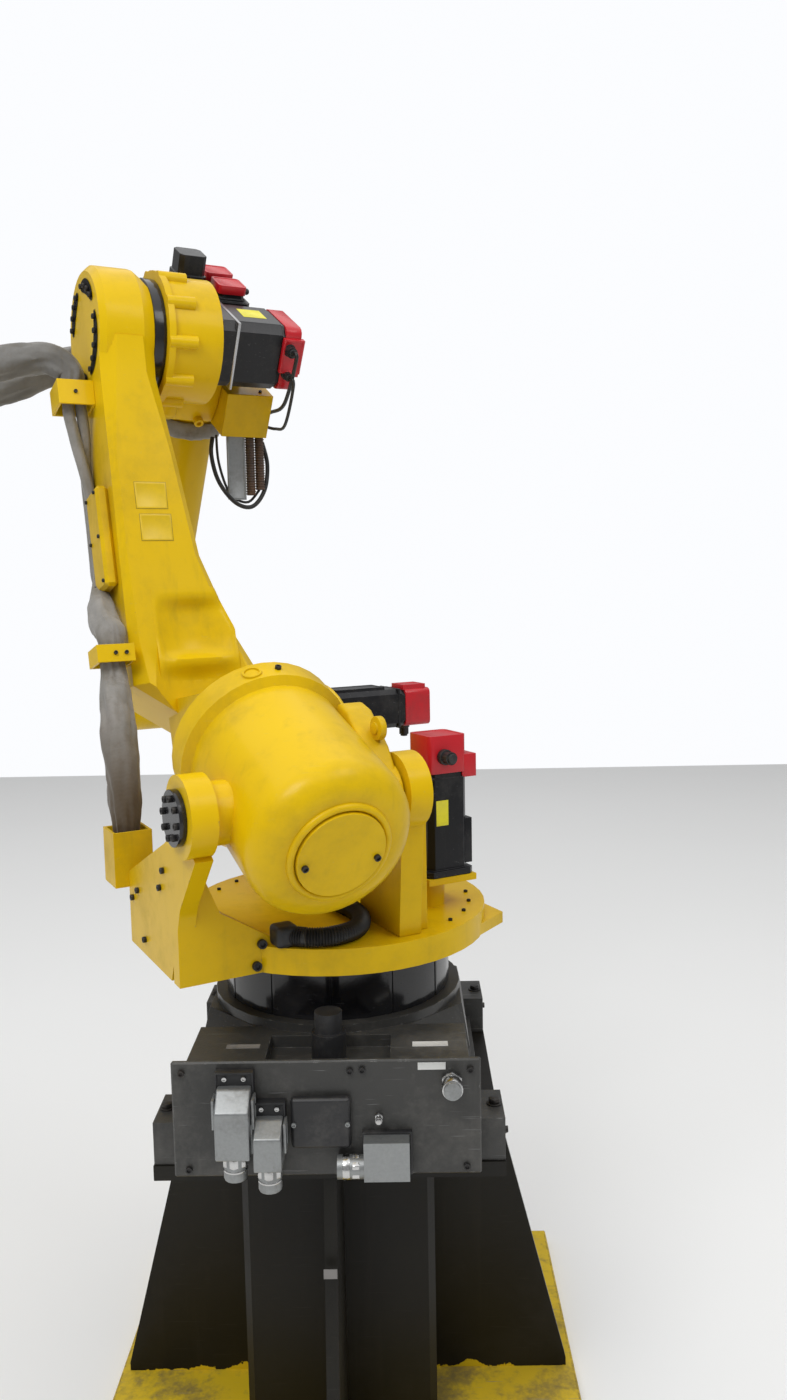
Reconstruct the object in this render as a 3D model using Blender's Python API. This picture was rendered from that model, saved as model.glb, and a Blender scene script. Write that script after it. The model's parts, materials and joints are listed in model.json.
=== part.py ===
# Heavy six-axis factory robot arm on a steel riser.
# Metres, +Z up. The origin is on the floor under the first axis, and +Y is the base's forward side.
# In each moving frame +X is the arm's right-hand side.

import math

import bmesh
import bpy
from mathutils import Matrix, Vector

# Clearances and overruns
SEAT_GAP = 0.0003
TURN_GAP = 0.0005
RUN_GAP = 0.006
PIN_GAP = 0.0006
OVERRUN = 0.02

# Pose in which the arm stands
TURRET_TURN = math.radians(29.1)
ARM_LEAN = math.radians(14.6)
FOREARM_DIP = math.radians(60.0)
WRIST_BEND = math.radians(60.0)
BALANCER_TILT = math.radians(22.0)

# Axis positions
RISER_H = 0.754
J2_FORWARD = 0.312
J2_HEIGHT = 0.670
ARM_LENGTH = 1.075
ELBOW_OFFSET = 0.225
FOREARM_LENGTH = 1.280
WRIST_LENGTH = 0.215

# Riser
RISER_PLATE = 0.030
FOOT_HALF = 0.530
TOP_HALF_X = 0.340
TOP_HALF_Y = 0.405
COLUMN_HALF = 0.205
COLUMN_CORNER = 0.015
GUSSET_T = 0.025
GUSSET_TOE = 0.020

# Base
FOOT_X = 0.305
FOOT_FRONT = 0.325
FOOT_REAR = 0.400
FOOT_T = 0.040
LUG_REACH = 0.034
LUG_W = 0.120
LUG_T = 0.085
LUG_HOLE_R = 0.012
BASE_BODY_X = 0.285
BASE_BODY_Y = 0.290
BASE_CORNER = 0.110
BASE_WAIST_H = 0.130
BASE_H = 0.222
BASE_NECK_R = 0.272
BOX_TOP = 0.205
BOX_FRONT = 0.230
NOTCH_HALF = 0.120
NOTCH_DEPTH = 0.025
NOTCH_LENGTH = 0.110
PANEL_X = 0.290
PANEL_Y = 0.446
PANEL_T = 0.012
PANEL_H = 0.226
STOP_R = 0.034
STOP_H = 0.102
STOP_Y = 0.345
STOP_CAP_H = 0.040
STOP_CAP_SHARE = 0.8
RING_R = 0.2487
RING_TOP = 0.345
DISC_LOW = RING_TOP + TURN_GAP
RING_SEGMENTS = 12
RING_JOINT_W = 0.004
RING_JOINT_D = 0.003

# Connectors on the base's panel
HOOD_W = 0.064
HOOD_H = 0.122
HOOD_D = 0.070
HOOD_X = -0.1685
HOOD_Z = 0.128
GLAND_R = 0.022
GLAND_L = 0.050
SMALL_HOOD_W = 0.052
SMALL_HOOD_H = 0.085
SMALL_HOOD_X = -0.105
SMALL_HOOD_Z = 0.087
COVER_W = 0.112
COVER_H = 0.098
COVER_D = 0.020
COVER_X = -0.010
COVER_Z = 0.112
SIDE_HOOD_W = 0.085
SIDE_HOOD_H = 0.075
SIDE_HOOD_D = 0.045
SIDE_HOOD_X = 0.112
SIDE_HOOD_Z = 0.048
ROUND_PLUG_R = 0.017
ROUND_PLUG_L = 0.050
ROUND_PLUG_X = 0.235
ROUND_PLUG_Z = 0.185

# Turret
DISC_R = 0.330
DISC_TOP = 0.400
WING_X = 0.320
WING_NEAR = -0.270
WING_FAR = 0.060
WING_TOP = 0.370
TOWER_IN = 0.010
TOWER_OUT = 0.135
TOWER_R = 0.185
TOWER_FOOT = 0.250
J2_RING_R = 0.150
YOKE_IN = 0.230
YOKE_OUT = 0.430
YOKE_REAR = -0.200
YOKE_FRONT = 0.130
YOKE_FRONT_HIGH = 0.500
YOKE_WALL = 0.035
YOKE_FLOOR_H = 0.062
YOKE_DIP_X = -0.345
YOKE_DIP_Z = 0.480
YOKE_NECK_X = -0.400
YOKE_TIP_W = 0.050
YOKE_BOSS_R = 0.078
YOKE_RIB_LAP = 0.012
YOKE_RIB_FOOT = 0.130
YOKE_RIB_TOP = 0.080
YOKE_RIB_OUT = 0.027
BRACKET_X = -0.4175
BRACKET_LOW = 0.465
BRACKET_HIGH = 0.585
BRACKET_SIDE = 0.0846
BRACKET_T = 0.006
J1_MOTOR_X = 0.190
J1_MOTOR_Y = -0.130
J1_MOTOR_HALF = 0.048
J2_MOTOR_HALF = 0.050
J2_MOTOR_Z = 0.777
J2_MOTOR_Y = 0.350
HOSE_R = 0.020
TURRET_HOSE_ROUTE = [
    (-0.035, -0.050), (-0.030, -0.140), (-0.045, -0.210), (-0.085, -0.262), (-0.140, -0.275),
    (-0.190, -0.255), (-0.215, -0.225),
]

# Balancer
BALANCER_X = -0.200
BALANCER_Y = -0.280
BALANCER_Z = 0.6956
BALANCER_R = 0.165
BALANCER_FRONT = 0.245
BALANCER_REAR = 0.170
BALANCER_DOME = 0.055
BALANCER_MOUTH_R = 0.112
BALANCER_MOUTH_D = 0.190
COLLAR_R = 0.183
COLLAR_L = 0.078
COLLAR_RISE = 0.012
COLLAR_LIP = 0.008
END_COVER_R = 0.088
END_COVER_T = 0.012
TRUNNION_HALF = 0.245
TRUNNION_BOSS_R = 0.060
TRUNNION_PIN_R = 0.034
TRUNNION_CAP_R = 0.053
TRUNNION_CAP_T = 0.014
ROD_R = 0.026
ROD_LENGTH = 0.220
ROD_EYE_R = 0.042
ROD_EYE_W = 0.050
PIN_R = 0.018
PIN_LAP = 0.006
CLEVIS_Y = -0.274
CLEVIS_Z = 0.100
CLEVIS_R = 0.044
CLEVIS_EAR_W = 0.030
CLEVIS_GAP = 0.006
CLEVIS_ROOT_LOW = 0.050
CLEVIS_ROOT_HIGH = 0.170

# Lower arm
HUB_R = 0.190
HUB_CHAMFER = 0.014
HEAD_CHAMFER = 0.030
HEAD_SLOPE = 0.018
# Slanted cut on the head's upper right: far side, near side, height above the axis
HEAD_CUT_IN = -0.275
HEAD_CUT_OUT = -0.222
HEAD_CUT_LOW = 0.065
CHANNEL_R = 0.197
CHANNEL_Y = -0.262
CHANNEL_HIGH = 0.420
HUB_LEFT = -0.168
HUB_RIGHT = -0.025
HEAD_R = 0.156
ARM_LEFT = -0.356
HEAD_RIGHT = -0.225
J3_RING_R = 0.140
# Rear, front, corner and height of the web where it meets the hub
ARM_ROOT = (-0.110, 0.130, 0.030, 0.060)
# Height, right side, rear, front and corner of each section above
ARM_SECTIONS = (
    (0.200, -0.045, -0.100, 0.150, 0.030),
    (0.300, -0.095, -0.090, 0.140, 0.020),
    (0.500, -0.165, -0.092, 0.130, 0.015),
    (0.750, -0.200, -0.105, 0.125, 0.015),
    (0.929, HEAD_RIGHT, -0.125, 0.135, 0.030),
    (1.010, HEAD_RIGHT, -0.145, 0.145, 0.035),
)
SIDE_COVER_LOW = 0.440
SIDE_COVER_HIGH = 0.680
SIDE_COVER_W = 0.100
SIDE_COVER_T = 0.030

# Elbow casing and what it carries
BARREL_R = 0.150
BARREL_RIM = 0.160
BARREL_RIM_T = 0.016
BARREL_BOSS_R = 0.016
BARREL_BOSS_L = 0.070
BARREL_BOSSES = 10
BARREL_LEFT = -0.195
BARREL_RIGHT = -0.058
CASING_X = 0.105
CASING_REAR = 0.060
CASING_FRONT = 0.190
CASING_LOW = 0.100
CASING_TOP = 0.340
CASING_CORNER = 0.015
WEB_LEFT = -0.150
WEB_SHARE = 0.85
WEB_HIGH = 0.245
NECK_R = 0.105
NECK_END = 0.260
REAR_MOTOR_HALF = 0.040
J4_MOTOR_X = -0.055
J4_MOTOR_Z = 0.190
J4_MOTOR_L = 0.110
J4_MOTOR_CAP = 0.050
J5_MOTOR_X = 0.050
J5_MOTOR_Z = 0.165
J6_MOTOR_Z = 0.272
WRIST_MOTOR_L = 0.050
WRIST_MOTOR_CAP = 0.030
CABLE_BOX_X = 0.030
CABLE_BOX_Y = 0.130
CABLE_BOX_W = 0.130
CABLE_BOX_L = 0.120
CABLE_BOX_H = 0.095
LOOP_BRACKET_OUT = -0.205
LOOP_BRACKET_Y = 0.125
LOOP_BRACKET_Z = 0.195

# Forearm, wrist and flange
FOREARM_R = 0.084
FOREARM_TIP_R = 0.074
FORK_R = 0.105
FORK_HALF = 0.120
FORK_CHEEK = 0.036
FORK_REACH = 0.240
FORK_SLOT = 0.185
WRIST_R = 0.092
WRIST_NOSE_R = 0.072
FLANGE_R = 0.080
FLANGE_T = 0.030
FLANGE_SPIGOT_R = 0.040
FLANGE_SPIGOT_D = 0.008

# Servo motors
MOTOR_FLANGE_T = 0.014
MOTOR_FLANGE_LIP = 0.010
MOTOR_CAP_IN = 0.004
J1_MOTOR_L = 0.305
J1_MOTOR_CAP = 0.090
J2_MOTOR_L = 0.290
J2_MOTOR_CAP = 0.080
J3_MOTOR_HALF = 0.084
J3_MOTOR_L = 0.225
J3_MOTOR_CAP = 0.050
MOTOR_PILLAR_R = 0.034
MOTOR_PILLAR_H = 0.070
MOTOR_PILLAR_IN = 0.026
MOTOR_PLATE_HALF = 0.060
MOTOR_PLATE_T = 0.014

# Dress pack
SLEEVE_R = 0.036
SLEEVE_LAP = 0.020
RING_WALL = 0.006
SLEEVE_X = ARM_LEFT - SEAT_GAP - RING_WALL - SEAT_GAP - SLEEVE_R
LOWER_RING_Y = -0.075
LOWER_RING_Z = 0.250
LOWER_RING_H = 0.040
UPPER_RING_Y = 0.015
UPPER_RING_Z = 0.885
UPPER_RING_H = 0.060
# Hand-chosen middle points, between the straight ends that the rings hold
LOWER_SLEEVE_ROUTE = [(-0.418, 0.182, 0.690), (-0.418, 0.212, 0.780), (-0.408, 0.262, 0.855)]
UPPER_SLEEVE_ROUTE = [
    (-0.412, -0.040, 0.352), (-0.408, 0.030, 0.372), (-0.402, 0.085, 0.420), (SLEEVE_X, 0.097, 0.490),
    (SLEEVE_X, 0.097, 0.620), (SLEEVE_X, 0.080, 0.730), (SLEEVE_X, 0.035, 0.810),
]
LOOP_ROUTE = [
    (-0.450, 0.030, 1.020), (-0.560, 0.055, 1.005), (-0.660, 0.120, 0.990), (-0.680, 0.210, 0.995),
    (-0.610, 0.270, 1.015), (-0.480, 0.270, 1.055), (-0.330, 0.240, 1.110),
]

ROUND_STEPS = 32
SMALL_STEPS = 16
HOSE_STEP_SHARE = 1.25

PAINT = (0.80, 0.58, 0.02)
PAINT_DARK = (0.72, 0.50, 0.02)
GREY_CAST = (0.09, 0.09, 0.09)
BLACK_STEEL = (0.03, 0.03, 0.03)
BLACK_PLASTIC = (0.02, 0.02, 0.02)
STEEL = (0.45, 0.45, 0.46)
ZINC = (0.55, 0.55, 0.55)
FABRIC = (0.42, 0.41, 0.38)


def clear_scene():
    for item in list(bpy.data.objects):
        bpy.data.objects.remove(item, do_unlink=True)


def material(name, colour, roughness, metallic):
    made = bpy.data.materials.new(name)
    made.use_nodes = True
    shader = made.node_tree.nodes["Principled BSDF"]
    shader.inputs["Base Color"].default_value = (*colour, 1.0)
    shader.inputs["Roughness"].default_value = roughness
    shader.inputs["Metallic"].default_value = metallic
    made.diffuse_color = (*colour, 1.0)
    return made


def painted(name, colour):
    return material(name, colour, 0.35, 0.0)


def frame(name, parent, place, pitch=0.0, turn=0.0):
    empty = bpy.data.objects.new(name, None)
    bpy.context.collection.objects.link(empty)
    empty.parent = parent
    empty.location = place
    empty.rotation_euler = (pitch, 0.0, turn)
    return empty


def solid(name, shape, parent, finish):
    bmesh.ops.recalc_face_normals(shape, faces=shape.faces)
    mesh = bpy.data.meshes.new(name)
    shape.to_mesh(mesh)
    shape.free()
    made = bpy.data.objects.new(name, mesh)
    bpy.context.collection.objects.link(made)
    made.parent = parent
    if finish is not None:
        mesh.materials.append(finish)
    mesh.shade_smooth()
    mesh.set_sharp_from_angle(angle=math.radians(30.0))
    return made


def tool(target, shape, operation):
    helper = solid(target.name + "_tool", shape, target.parent, None)
    helper.hide_render = True
    helper.display_type = "WIRE"
    helper.location = target.location
    step = target.modifiers.new("shape", "BOOLEAN")
    step.operation = operation
    step.solver = "EXACT"
    step.object = helper
    return target


def fuse(target, *shapes):
    for shape in shapes:
        tool(target, shape, "UNION")


def carve(target, *shapes):
    for shape in shapes:
        tool(target, shape, "DIFFERENCE")


def soften(target, width):
    step = target.modifiers.new("edges", "BEVEL")
    step.width = width
    step.segments = 1
    step.limit_method = "ANGLE"
    step.angle_limit = math.radians(40.0)


def box(low, high):
    shape = bmesh.new()
    bmesh.ops.create_cube(shape, size=1.0)
    low = Vector(low)
    high = Vector(high)
    middle = (low + high) / 2
    size = high - low
    for point in shape.verts:
        point.co = Vector(c * s + m for c, s, m in zip(point.co, size, middle))
    return shape


def axis_matrix(axis):
    if axis == "X":
        return Matrix(((0, 0, 1), (1, 0, 0), (0, 1, 0)))
    if axis == "Y":
        return Matrix(((1, 0, 0), (0, 0, 1), (0, -1, 0)))
    return Matrix.Identity(3)


def turned(outline, axis="Z", centre=(0, 0, 0), steps=ROUND_STEPS):
    """Outline points are (radius, place along the axis)."""
    shape = bmesh.new()
    turn = axis_matrix(axis)
    centre = Vector(centre)
    rings = []
    for radius, along in outline:
        if radius == 0:
            rings.append([shape.verts.new(centre + turn @ Vector((0, 0, along)))])
            continue
        ring = []
        for step in range(steps):
            angle = 2 * math.pi * (step + 0.5) / steps
            spot = Vector((radius * math.cos(angle), radius * math.sin(angle), along))
            ring.append(shape.verts.new(centre + turn @ spot))
        rings.append(ring)
    closed = outline[0][0] != 0
    pairs = list(zip(rings, rings[1:]))
    if closed:
        pairs.append((rings[-1], rings[0]))
    for first, second in pairs:
        for step in range(steps):
            after = (step + 1) % steps
            if len(first) == 1:
                shape.faces.new((first[0], second[step], second[after]))
            elif len(second) == 1:
                shape.faces.new((first[step], first[after], second[0]))
            else:
                shape.faces.new((first[step], first[after], second[after], second[step]))
    return shape


def rod(radius, low, high, axis="Z", centre=(0, 0, 0), steps=ROUND_STEPS):
    return turned([(0, low), (radius, low), (radius, high), (0, high)], axis, centre, steps)


def prism(outline, low, high, axis="X"):
    """The outline lies across the axis: (y, z) for X, (x, z) for Y, (x, y) for Z."""
    shape = bmesh.new()

    def spot(a, b, along):
        if axis == "X":
            return (along, a, b)
        if axis == "Y":
            return (a, along, b)
        return (a, b, along)

    near = [shape.verts.new(spot(a, b, low)) for a, b in outline]
    far = [shape.verts.new(spot(a, b, high)) for a, b in outline]
    shape.faces.new(near)
    shape.faces.new(far)
    for index in range(len(outline)):
        after = (index + 1) % len(outline)
        shape.faces.new((near[index], near[after], far[after], far[index]))
    return shape


def loft(loops):
    shape = bmesh.new()
    rows = [[shape.verts.new(spot) for spot in loop] for loop in loops]
    shape.faces.new(rows[0])
    shape.faces.new(rows[-1])
    for first, second in zip(rows, rows[1:]):
        for index in range(len(first)):
            after = (index + 1) % len(first)
            shape.faces.new((first[index], first[after], second[after], second[index]))
    bmesh.ops.triangulate(shape, faces=[f for f in shape.faces if len(f.verts) == 4])
    return shape


def section(low_x, high_x, low_y, high_y, corner, height):
    return [
        (low_x + corner, low_y, height),
        (high_x - corner, low_y, height),
        (high_x, low_y + corner, height),
        (high_x, high_y - corner, height),
        (high_x - corner, high_y, height),
        (low_x + corner, high_y, height),
        (low_x, high_y - corner, height),
        (low_x, low_y + corner, height),
    ]


def smooth_route(points, spacing):
    """Points at an even spacing along a smooth curve through the given ones, with both ends straight."""
    spots = [Vector(p) for p in points]
    fine = []
    for a, b, c, d in zip(spots, spots[1:], spots[2:], spots[3:]):
        for step in range(24):
            t = step / 24
            fine.append(0.5 * (2 * b + (c - a) * t + (2 * a - 5 * b + 4 * c - d) * t * t
                               + (3 * b - a - 3 * c + d) * t * t * t))
    fine.append(spots[-2])
    lengths = [0.0]
    for first, second in zip(fine, fine[1:]):
        lengths.append(lengths[-1] + (second - first).length)
    count = max(2, round(lengths[-1] / spacing))
    route = []
    index = 0
    for number in range(count + 1):
        goal = lengths[-1] * number / count
        while index < len(fine) - 2 and lengths[index + 1] < goal:
            index += 1
        share = (goal - lengths[index]) / (lengths[index + 1] - lengths[index])
        route.append(fine[index].lerp(fine[index + 1], share))
    return [spots[0]] + route + [spots[-1]]


def hose(name, points, radius, parent, finish):
    curve = bpy.data.curves.new(name, "CURVE")
    curve.dimensions = "3D"
    curve.bevel_depth = radius
    curve.bevel_resolution = 2
    curve.use_fill_caps = True
    route = smooth_route(points, HOSE_STEP_SHARE * radius)
    line = curve.splines.new("POLY")
    line.points.add(len(route) - 1)
    for point, spot in zip(line.points, route):
        point.co = (*spot, 1.0)
    curve.materials.append(finish)
    made = bpy.data.objects.new(name, curve)
    bpy.context.collection.objects.link(made)
    made.parent = parent
    return made


def motor(name, parent, finish, foot, direction, half, length, cap):
    """A square servo motor on its flange, with a narrower encoder cap at the far end."""
    shape = []
    stages = (
        (0, half + MOTOR_FLANGE_LIP),
        (MOTOR_FLANGE_T, half + MOTOR_FLANGE_LIP),
        (MOTOR_FLANGE_T, half),
        (length - cap, half),
        (length - cap, half - MOTOR_CAP_IN),
        (length, half - MOTOR_CAP_IN),
    )
    turn = direction_matrix(direction)
    for along, side in stages:
        flat = section(-side, side, -side, side, half / 4, along)
        shape.append([Vector(foot) + turn @ Vector(spot) for spot in flat])
    return solid(name, loft(shape), parent, finish)


def direction_matrix(direction):
    if direction == "+X":
        return axis_matrix("X")
    if direction == "-Y":
        return Matrix(((1, 0, 0), (0, 0, -1), (0, 1, 0)))
    return Matrix.Identity(3)


def build_riser(world):
    steel = painted("riser_black", BLACK_STEEL)
    foot_paint = painted("foot_yellow", PAINT_DARK)
    low = RISER_PLATE + SEAT_GAP
    high = RISER_H - RISER_PLATE - SEAT_GAP
    foot = solid("riser_foot_plate", box((-FOOT_HALF, -FOOT_HALF, 0), (FOOT_HALF, FOOT_HALF, RISER_PLATE)),
                 world, foot_paint)
    soften(foot, RISER_PLATE / 8)
    column = solid("riser_column", box((-COLUMN_HALF, -COLUMN_HALF, low), (COLUMN_HALF, COLUMN_HALF, high)),
                   world, steel)
    soften(column, COLUMN_CORNER)
    solid("riser_top_plate",
          box((-TOP_HALF_X, -TOP_HALF_Y, high + SEAT_GAP), (TOP_HALF_X, TOP_HALF_Y, RISER_H - SEAT_GAP)),
          world, steel)
    gusset("riser_gusset_right", world, steel, TOP_HALF_X, "Y", 1, low, high)
    gusset("riser_gusset_left", world, steel, TOP_HALF_X, "Y", -1, low, high)
    gusset("riser_gusset_front", world, steel, TOP_HALF_Y, "X", 1, low, high)
    gusset("riser_gusset_rear", world, steel, TOP_HALF_Y, "X", -1, low, high)


def gusset(name, parent, finish, top_reach, axis, side, low, high):
    inner = COLUMN_HALF + SEAT_GAP
    outline = [
        (side * inner, low),
        (side * (FOOT_HALF - GUSSET_TOE), low),
        (side * (FOOT_HALF - GUSSET_TOE), low + GUSSET_TOE),
        (side * top_reach, high),
        (side * inner, high),
    ]
    half = GUSSET_T / 2
    return solid(name, prism(outline, -half, half, axis), parent, finish)


def base_corners(half_x, half_y, corner, height):
    return section(-half_x, half_x, -half_y, half_y, corner, height)


def build_base(base):
    cast = painted("base_grey", GREY_CAST)
    casting = solid("base_casting", box((-FOOT_X, -FOOT_REAR, 0), (FOOT_X, FOOT_FRONT, FOOT_T)), base, cast)
    body = loft([
        base_corners(BASE_BODY_X, BASE_BODY_Y, BASE_CORNER, FOOT_T / 2),
        base_corners(BASE_BODY_X, BASE_BODY_Y, BASE_CORNER, BASE_WAIST_H),
        base_corners(BASE_NECK_R, BASE_NECK_R, BASE_NECK_R * (2 - math.sqrt(2)), BASE_H - FOOT_T / 2),
    ])
    neck = rod(BASE_NECK_R, BASE_WAIST_H, BASE_H)
    panel_back = -PANEL_Y + PANEL_T + SEAT_GAP
    rear_box = box((-FOOT_X + LUG_REACH, panel_back, 0), (FOOT_X - LUG_REACH, -BOX_FRONT, BOX_TOP))
    fuse(casting, body, neck, rear_box)
    for side in (-1, 1):
        edge = side * FOOT_X
        tip = side * (FOOT_X + LUG_REACH)
        for place in (-FOOT_REAR, FOOT_FRONT - LUG_W):
            low = (min(edge - side * LUG_REACH, tip), place, 0)
            high = (max(edge - side * LUG_REACH, tip), place + LUG_W, LUG_T)
            fuse(casting, box(low, high))
    notch_low = -PANEL_Y + NOTCH_LENGTH / 2
    carve(casting, box((-NOTCH_HALF, notch_low, BOX_TOP - NOTCH_DEPTH),
                       (NOTCH_HALF, notch_low + NOTCH_LENGTH, BOX_TOP + OVERRUN)))
    for side in (-1, 1):
        for place in (-FOOT_REAR, FOOT_FRONT - LUG_W):
            centre = (side * (FOOT_X + LUG_REACH / 2), place + LUG_W / 2, 0)
            carve(casting, rod(LUG_HOLE_R, -OVERRUN, LUG_T + OVERRUN, "Z", centre, SMALL_STEPS))

    panel = solid("connector_panel", box((-PANEL_X, -PANEL_Y, 0), (PANEL_X, -PANEL_Y + PANEL_T, PANEL_H)),
                  base, cast)
    soften(panel, PANEL_T / 4)
    stop_y = -STOP_Y
    stop_low = BOX_TOP - NOTCH_DEPTH + SEAT_GAP
    cap_r = STOP_R * STOP_CAP_SHARE
    stop = turned([(0, 0), (STOP_R, 0), (STOP_R, STOP_H - STOP_CAP_H), (cap_r, STOP_H - STOP_CAP_H),
                   (cap_r, STOP_H), (0, STOP_H)], "Z", (0, stop_y, stop_low), SMALL_STEPS)
    solid("stop_post", stop, base, painted("stop_black", BLACK_PLASTIC))
    build_ring(base)
    build_connectors(base)


def build_ring(base):
    low = BASE_H + SEAT_GAP
    ring = solid("slewing_ring", rod(RING_R, low, RING_TOP), base, material("ring_black", BLACK_STEEL, 0.15, 0.2))
    for number in range(RING_SEGMENTS):
        angle = 2 * math.pi * number / RING_SEGMENTS
        half = RING_JOINT_W / 2
        groove = box((RING_R - RING_JOINT_D, -half, low - OVERRUN), (RING_R + OVERRUN, half, RING_TOP + OVERRUN))
        bmesh.ops.rotate(groove, cent=(0, 0, 0), matrix=Matrix.Rotation(angle, 3, "Z"), verts=groove.verts)
        carve(ring, groove)


def build_connectors(base):
    zinc = material("hood_zinc", ZINC, 0.4, 0.6)
    black = painted("cover_black", BLACK_PLASTIC)
    face = -PANEL_Y - SEAT_GAP
    connector_hood("power_connector", base, zinc, face, HOOD_X, HOOD_Z, HOOD_W, HOOD_H, HOOD_D)
    connector_hood("signal_connector", base, zinc, face, SMALL_HOOD_X, SMALL_HOOD_Z, SMALL_HOOD_W,
                   SMALL_HOOD_H, HOOD_D)
    cover = solid("panel_cover", box((COVER_X - COVER_W / 2, face - COVER_D, COVER_Z - COVER_H / 2),
                                     (COVER_X + COVER_W / 2, face, COVER_Z + COVER_H / 2)), base, black)
    soften(cover, COVER_D / 4)
    side = solid("side_connector", box((SIDE_HOOD_X - SIDE_HOOD_W / 2, face - SIDE_HOOD_D, SIDE_HOOD_Z
                                        - SIDE_HOOD_H / 2),
                                       (SIDE_HOOD_X + SIDE_HOOD_W / 2, face, SIDE_HOOD_Z + SIDE_HOOD_H / 2)),
                 base, zinc)
    gland = (SIDE_HOOD_X - SIDE_HOOD_W / 2, face - SIDE_HOOD_D / 2, SIDE_HOOD_Z - SIDE_HOOD_H / 4)
    fuse(side, rod(GLAND_R, -GLAND_L, OVERRUN, "X", gland, SMALL_STEPS))
    plug = rod(ROUND_PLUG_R, -face, -face + ROUND_PLUG_L, "Y", (ROUND_PLUG_X, 0, ROUND_PLUG_Z), SMALL_STEPS)
    bmesh.ops.scale(plug, vec=(1, -1, 1), verts=plug.verts)
    solid("round_connector", plug, base, zinc)


def connector_hood(name, base, finish, face, x, z, width, height, depth):
    half = width / 2
    profile = [
        (face, z - height / 2),
        (face, z + height / 2),
        (face - depth / 2, z + height / 2),
        (face - depth, z + height / 4),
        (face - depth, z - height / 2),
    ]
    hood = solid(name, prism(profile, x - half, x + half, "X"), base, finish)
    bottom = z - height / 2
    fuse(hood, rod(GLAND_R, bottom - GLAND_L, bottom + OVERRUN, "Z", (x, face - depth / 2, 0), SMALL_STEPS))
    return hood


def build_turret(turret):
    paint = painted("turret_yellow", PAINT)
    disc = solid("turret_disc", rod(DISC_R, DISC_LOW, DISC_TOP, steps=48), turret, paint)
    wing = [(DISC_R / 2, WING_NEAR), (WING_X, WING_NEAR + DISC_R / 4), (WING_X, WING_FAR - DISC_R / 4),
            (DISC_R / 2, WING_FAR)]
    fuse(disc, prism(wing, DISC_LOW, WING_TOP, "Z"))
    foot = (J1_MOTOR_X, J1_MOTOR_Y, DISC_TOP + MOTOR_PILLAR_H)
    pillar = (J1_MOTOR_X - MOTOR_PILLAR_IN, J1_MOTOR_Y, 0)
    fuse(disc, rod(MOTOR_PILLAR_R, DISC_LOW + SEAT_GAP, foot[2] - MOTOR_PLATE_T / 2, "Z", pillar))
    plate = box((-MOTOR_PLATE_HALF, -MOTOR_PLATE_HALF, -MOTOR_PLATE_T), (MOTOR_PLATE_HALF, MOTOR_PLATE_HALF, 0))
    bmesh.ops.translate(plate, vec=foot, verts=plate.verts)
    fuse(disc, plate)
    build_tower(turret, paint)
    build_yokes(turret, paint)
    black = painted("motor_black", BLACK_PLASTIC)
    motor("j1_motor", turret, black, (J1_MOTOR_X, J1_MOTOR_Y, DISC_TOP + MOTOR_PILLAR_H + SEAT_GAP), "+Z",
          J1_MOTOR_HALF, J1_MOTOR_L, J1_MOTOR_CAP)
    motor("j2_motor", turret, black, (TOWER_OUT + SEAT_GAP, J2_MOTOR_Y, J2_MOTOR_Z), "+X", J2_MOTOR_HALF,
          J2_MOTOR_L, J2_MOTOR_CAP)
    build_cable_bracket(turret, paint)
    under = DISC_TOP + HOSE_R + SEAT_GAP
    route = [(x, y, under) for x, y in TURRET_HOSE_ROUTE]
    hose("turret_hose", route, HOSE_R, turret, painted("hose_black", BLACK_PLASTIC))


def build_tower(turret, paint):
    foot = DISC_TOP + SEAT_GAP
    outline = [(J2_FORWARD - TOWER_FOOT, foot), (J2_FORWARD + TOWER_R, foot)]
    steps = 20
    for number in range(steps + 1):
        angle = math.pi * number / steps
        outline.append((J2_FORWARD + TOWER_R * math.cos(angle), J2_HEIGHT + TOWER_R * math.sin(angle)))
    tower = solid("j2_tower", prism(outline, TOWER_IN, TOWER_OUT, "X"), turret, paint)
    soften(tower, TOWER_R / 16)
    ring = rod(J2_RING_R, HUB_RIGHT + TURN_GAP, TOWER_IN - SEAT_GAP, "X", (0, J2_FORWARD, J2_HEIGHT))
    solid("j2_reducer", ring, turret, painted("reducer_black", BLACK_STEEL))


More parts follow.
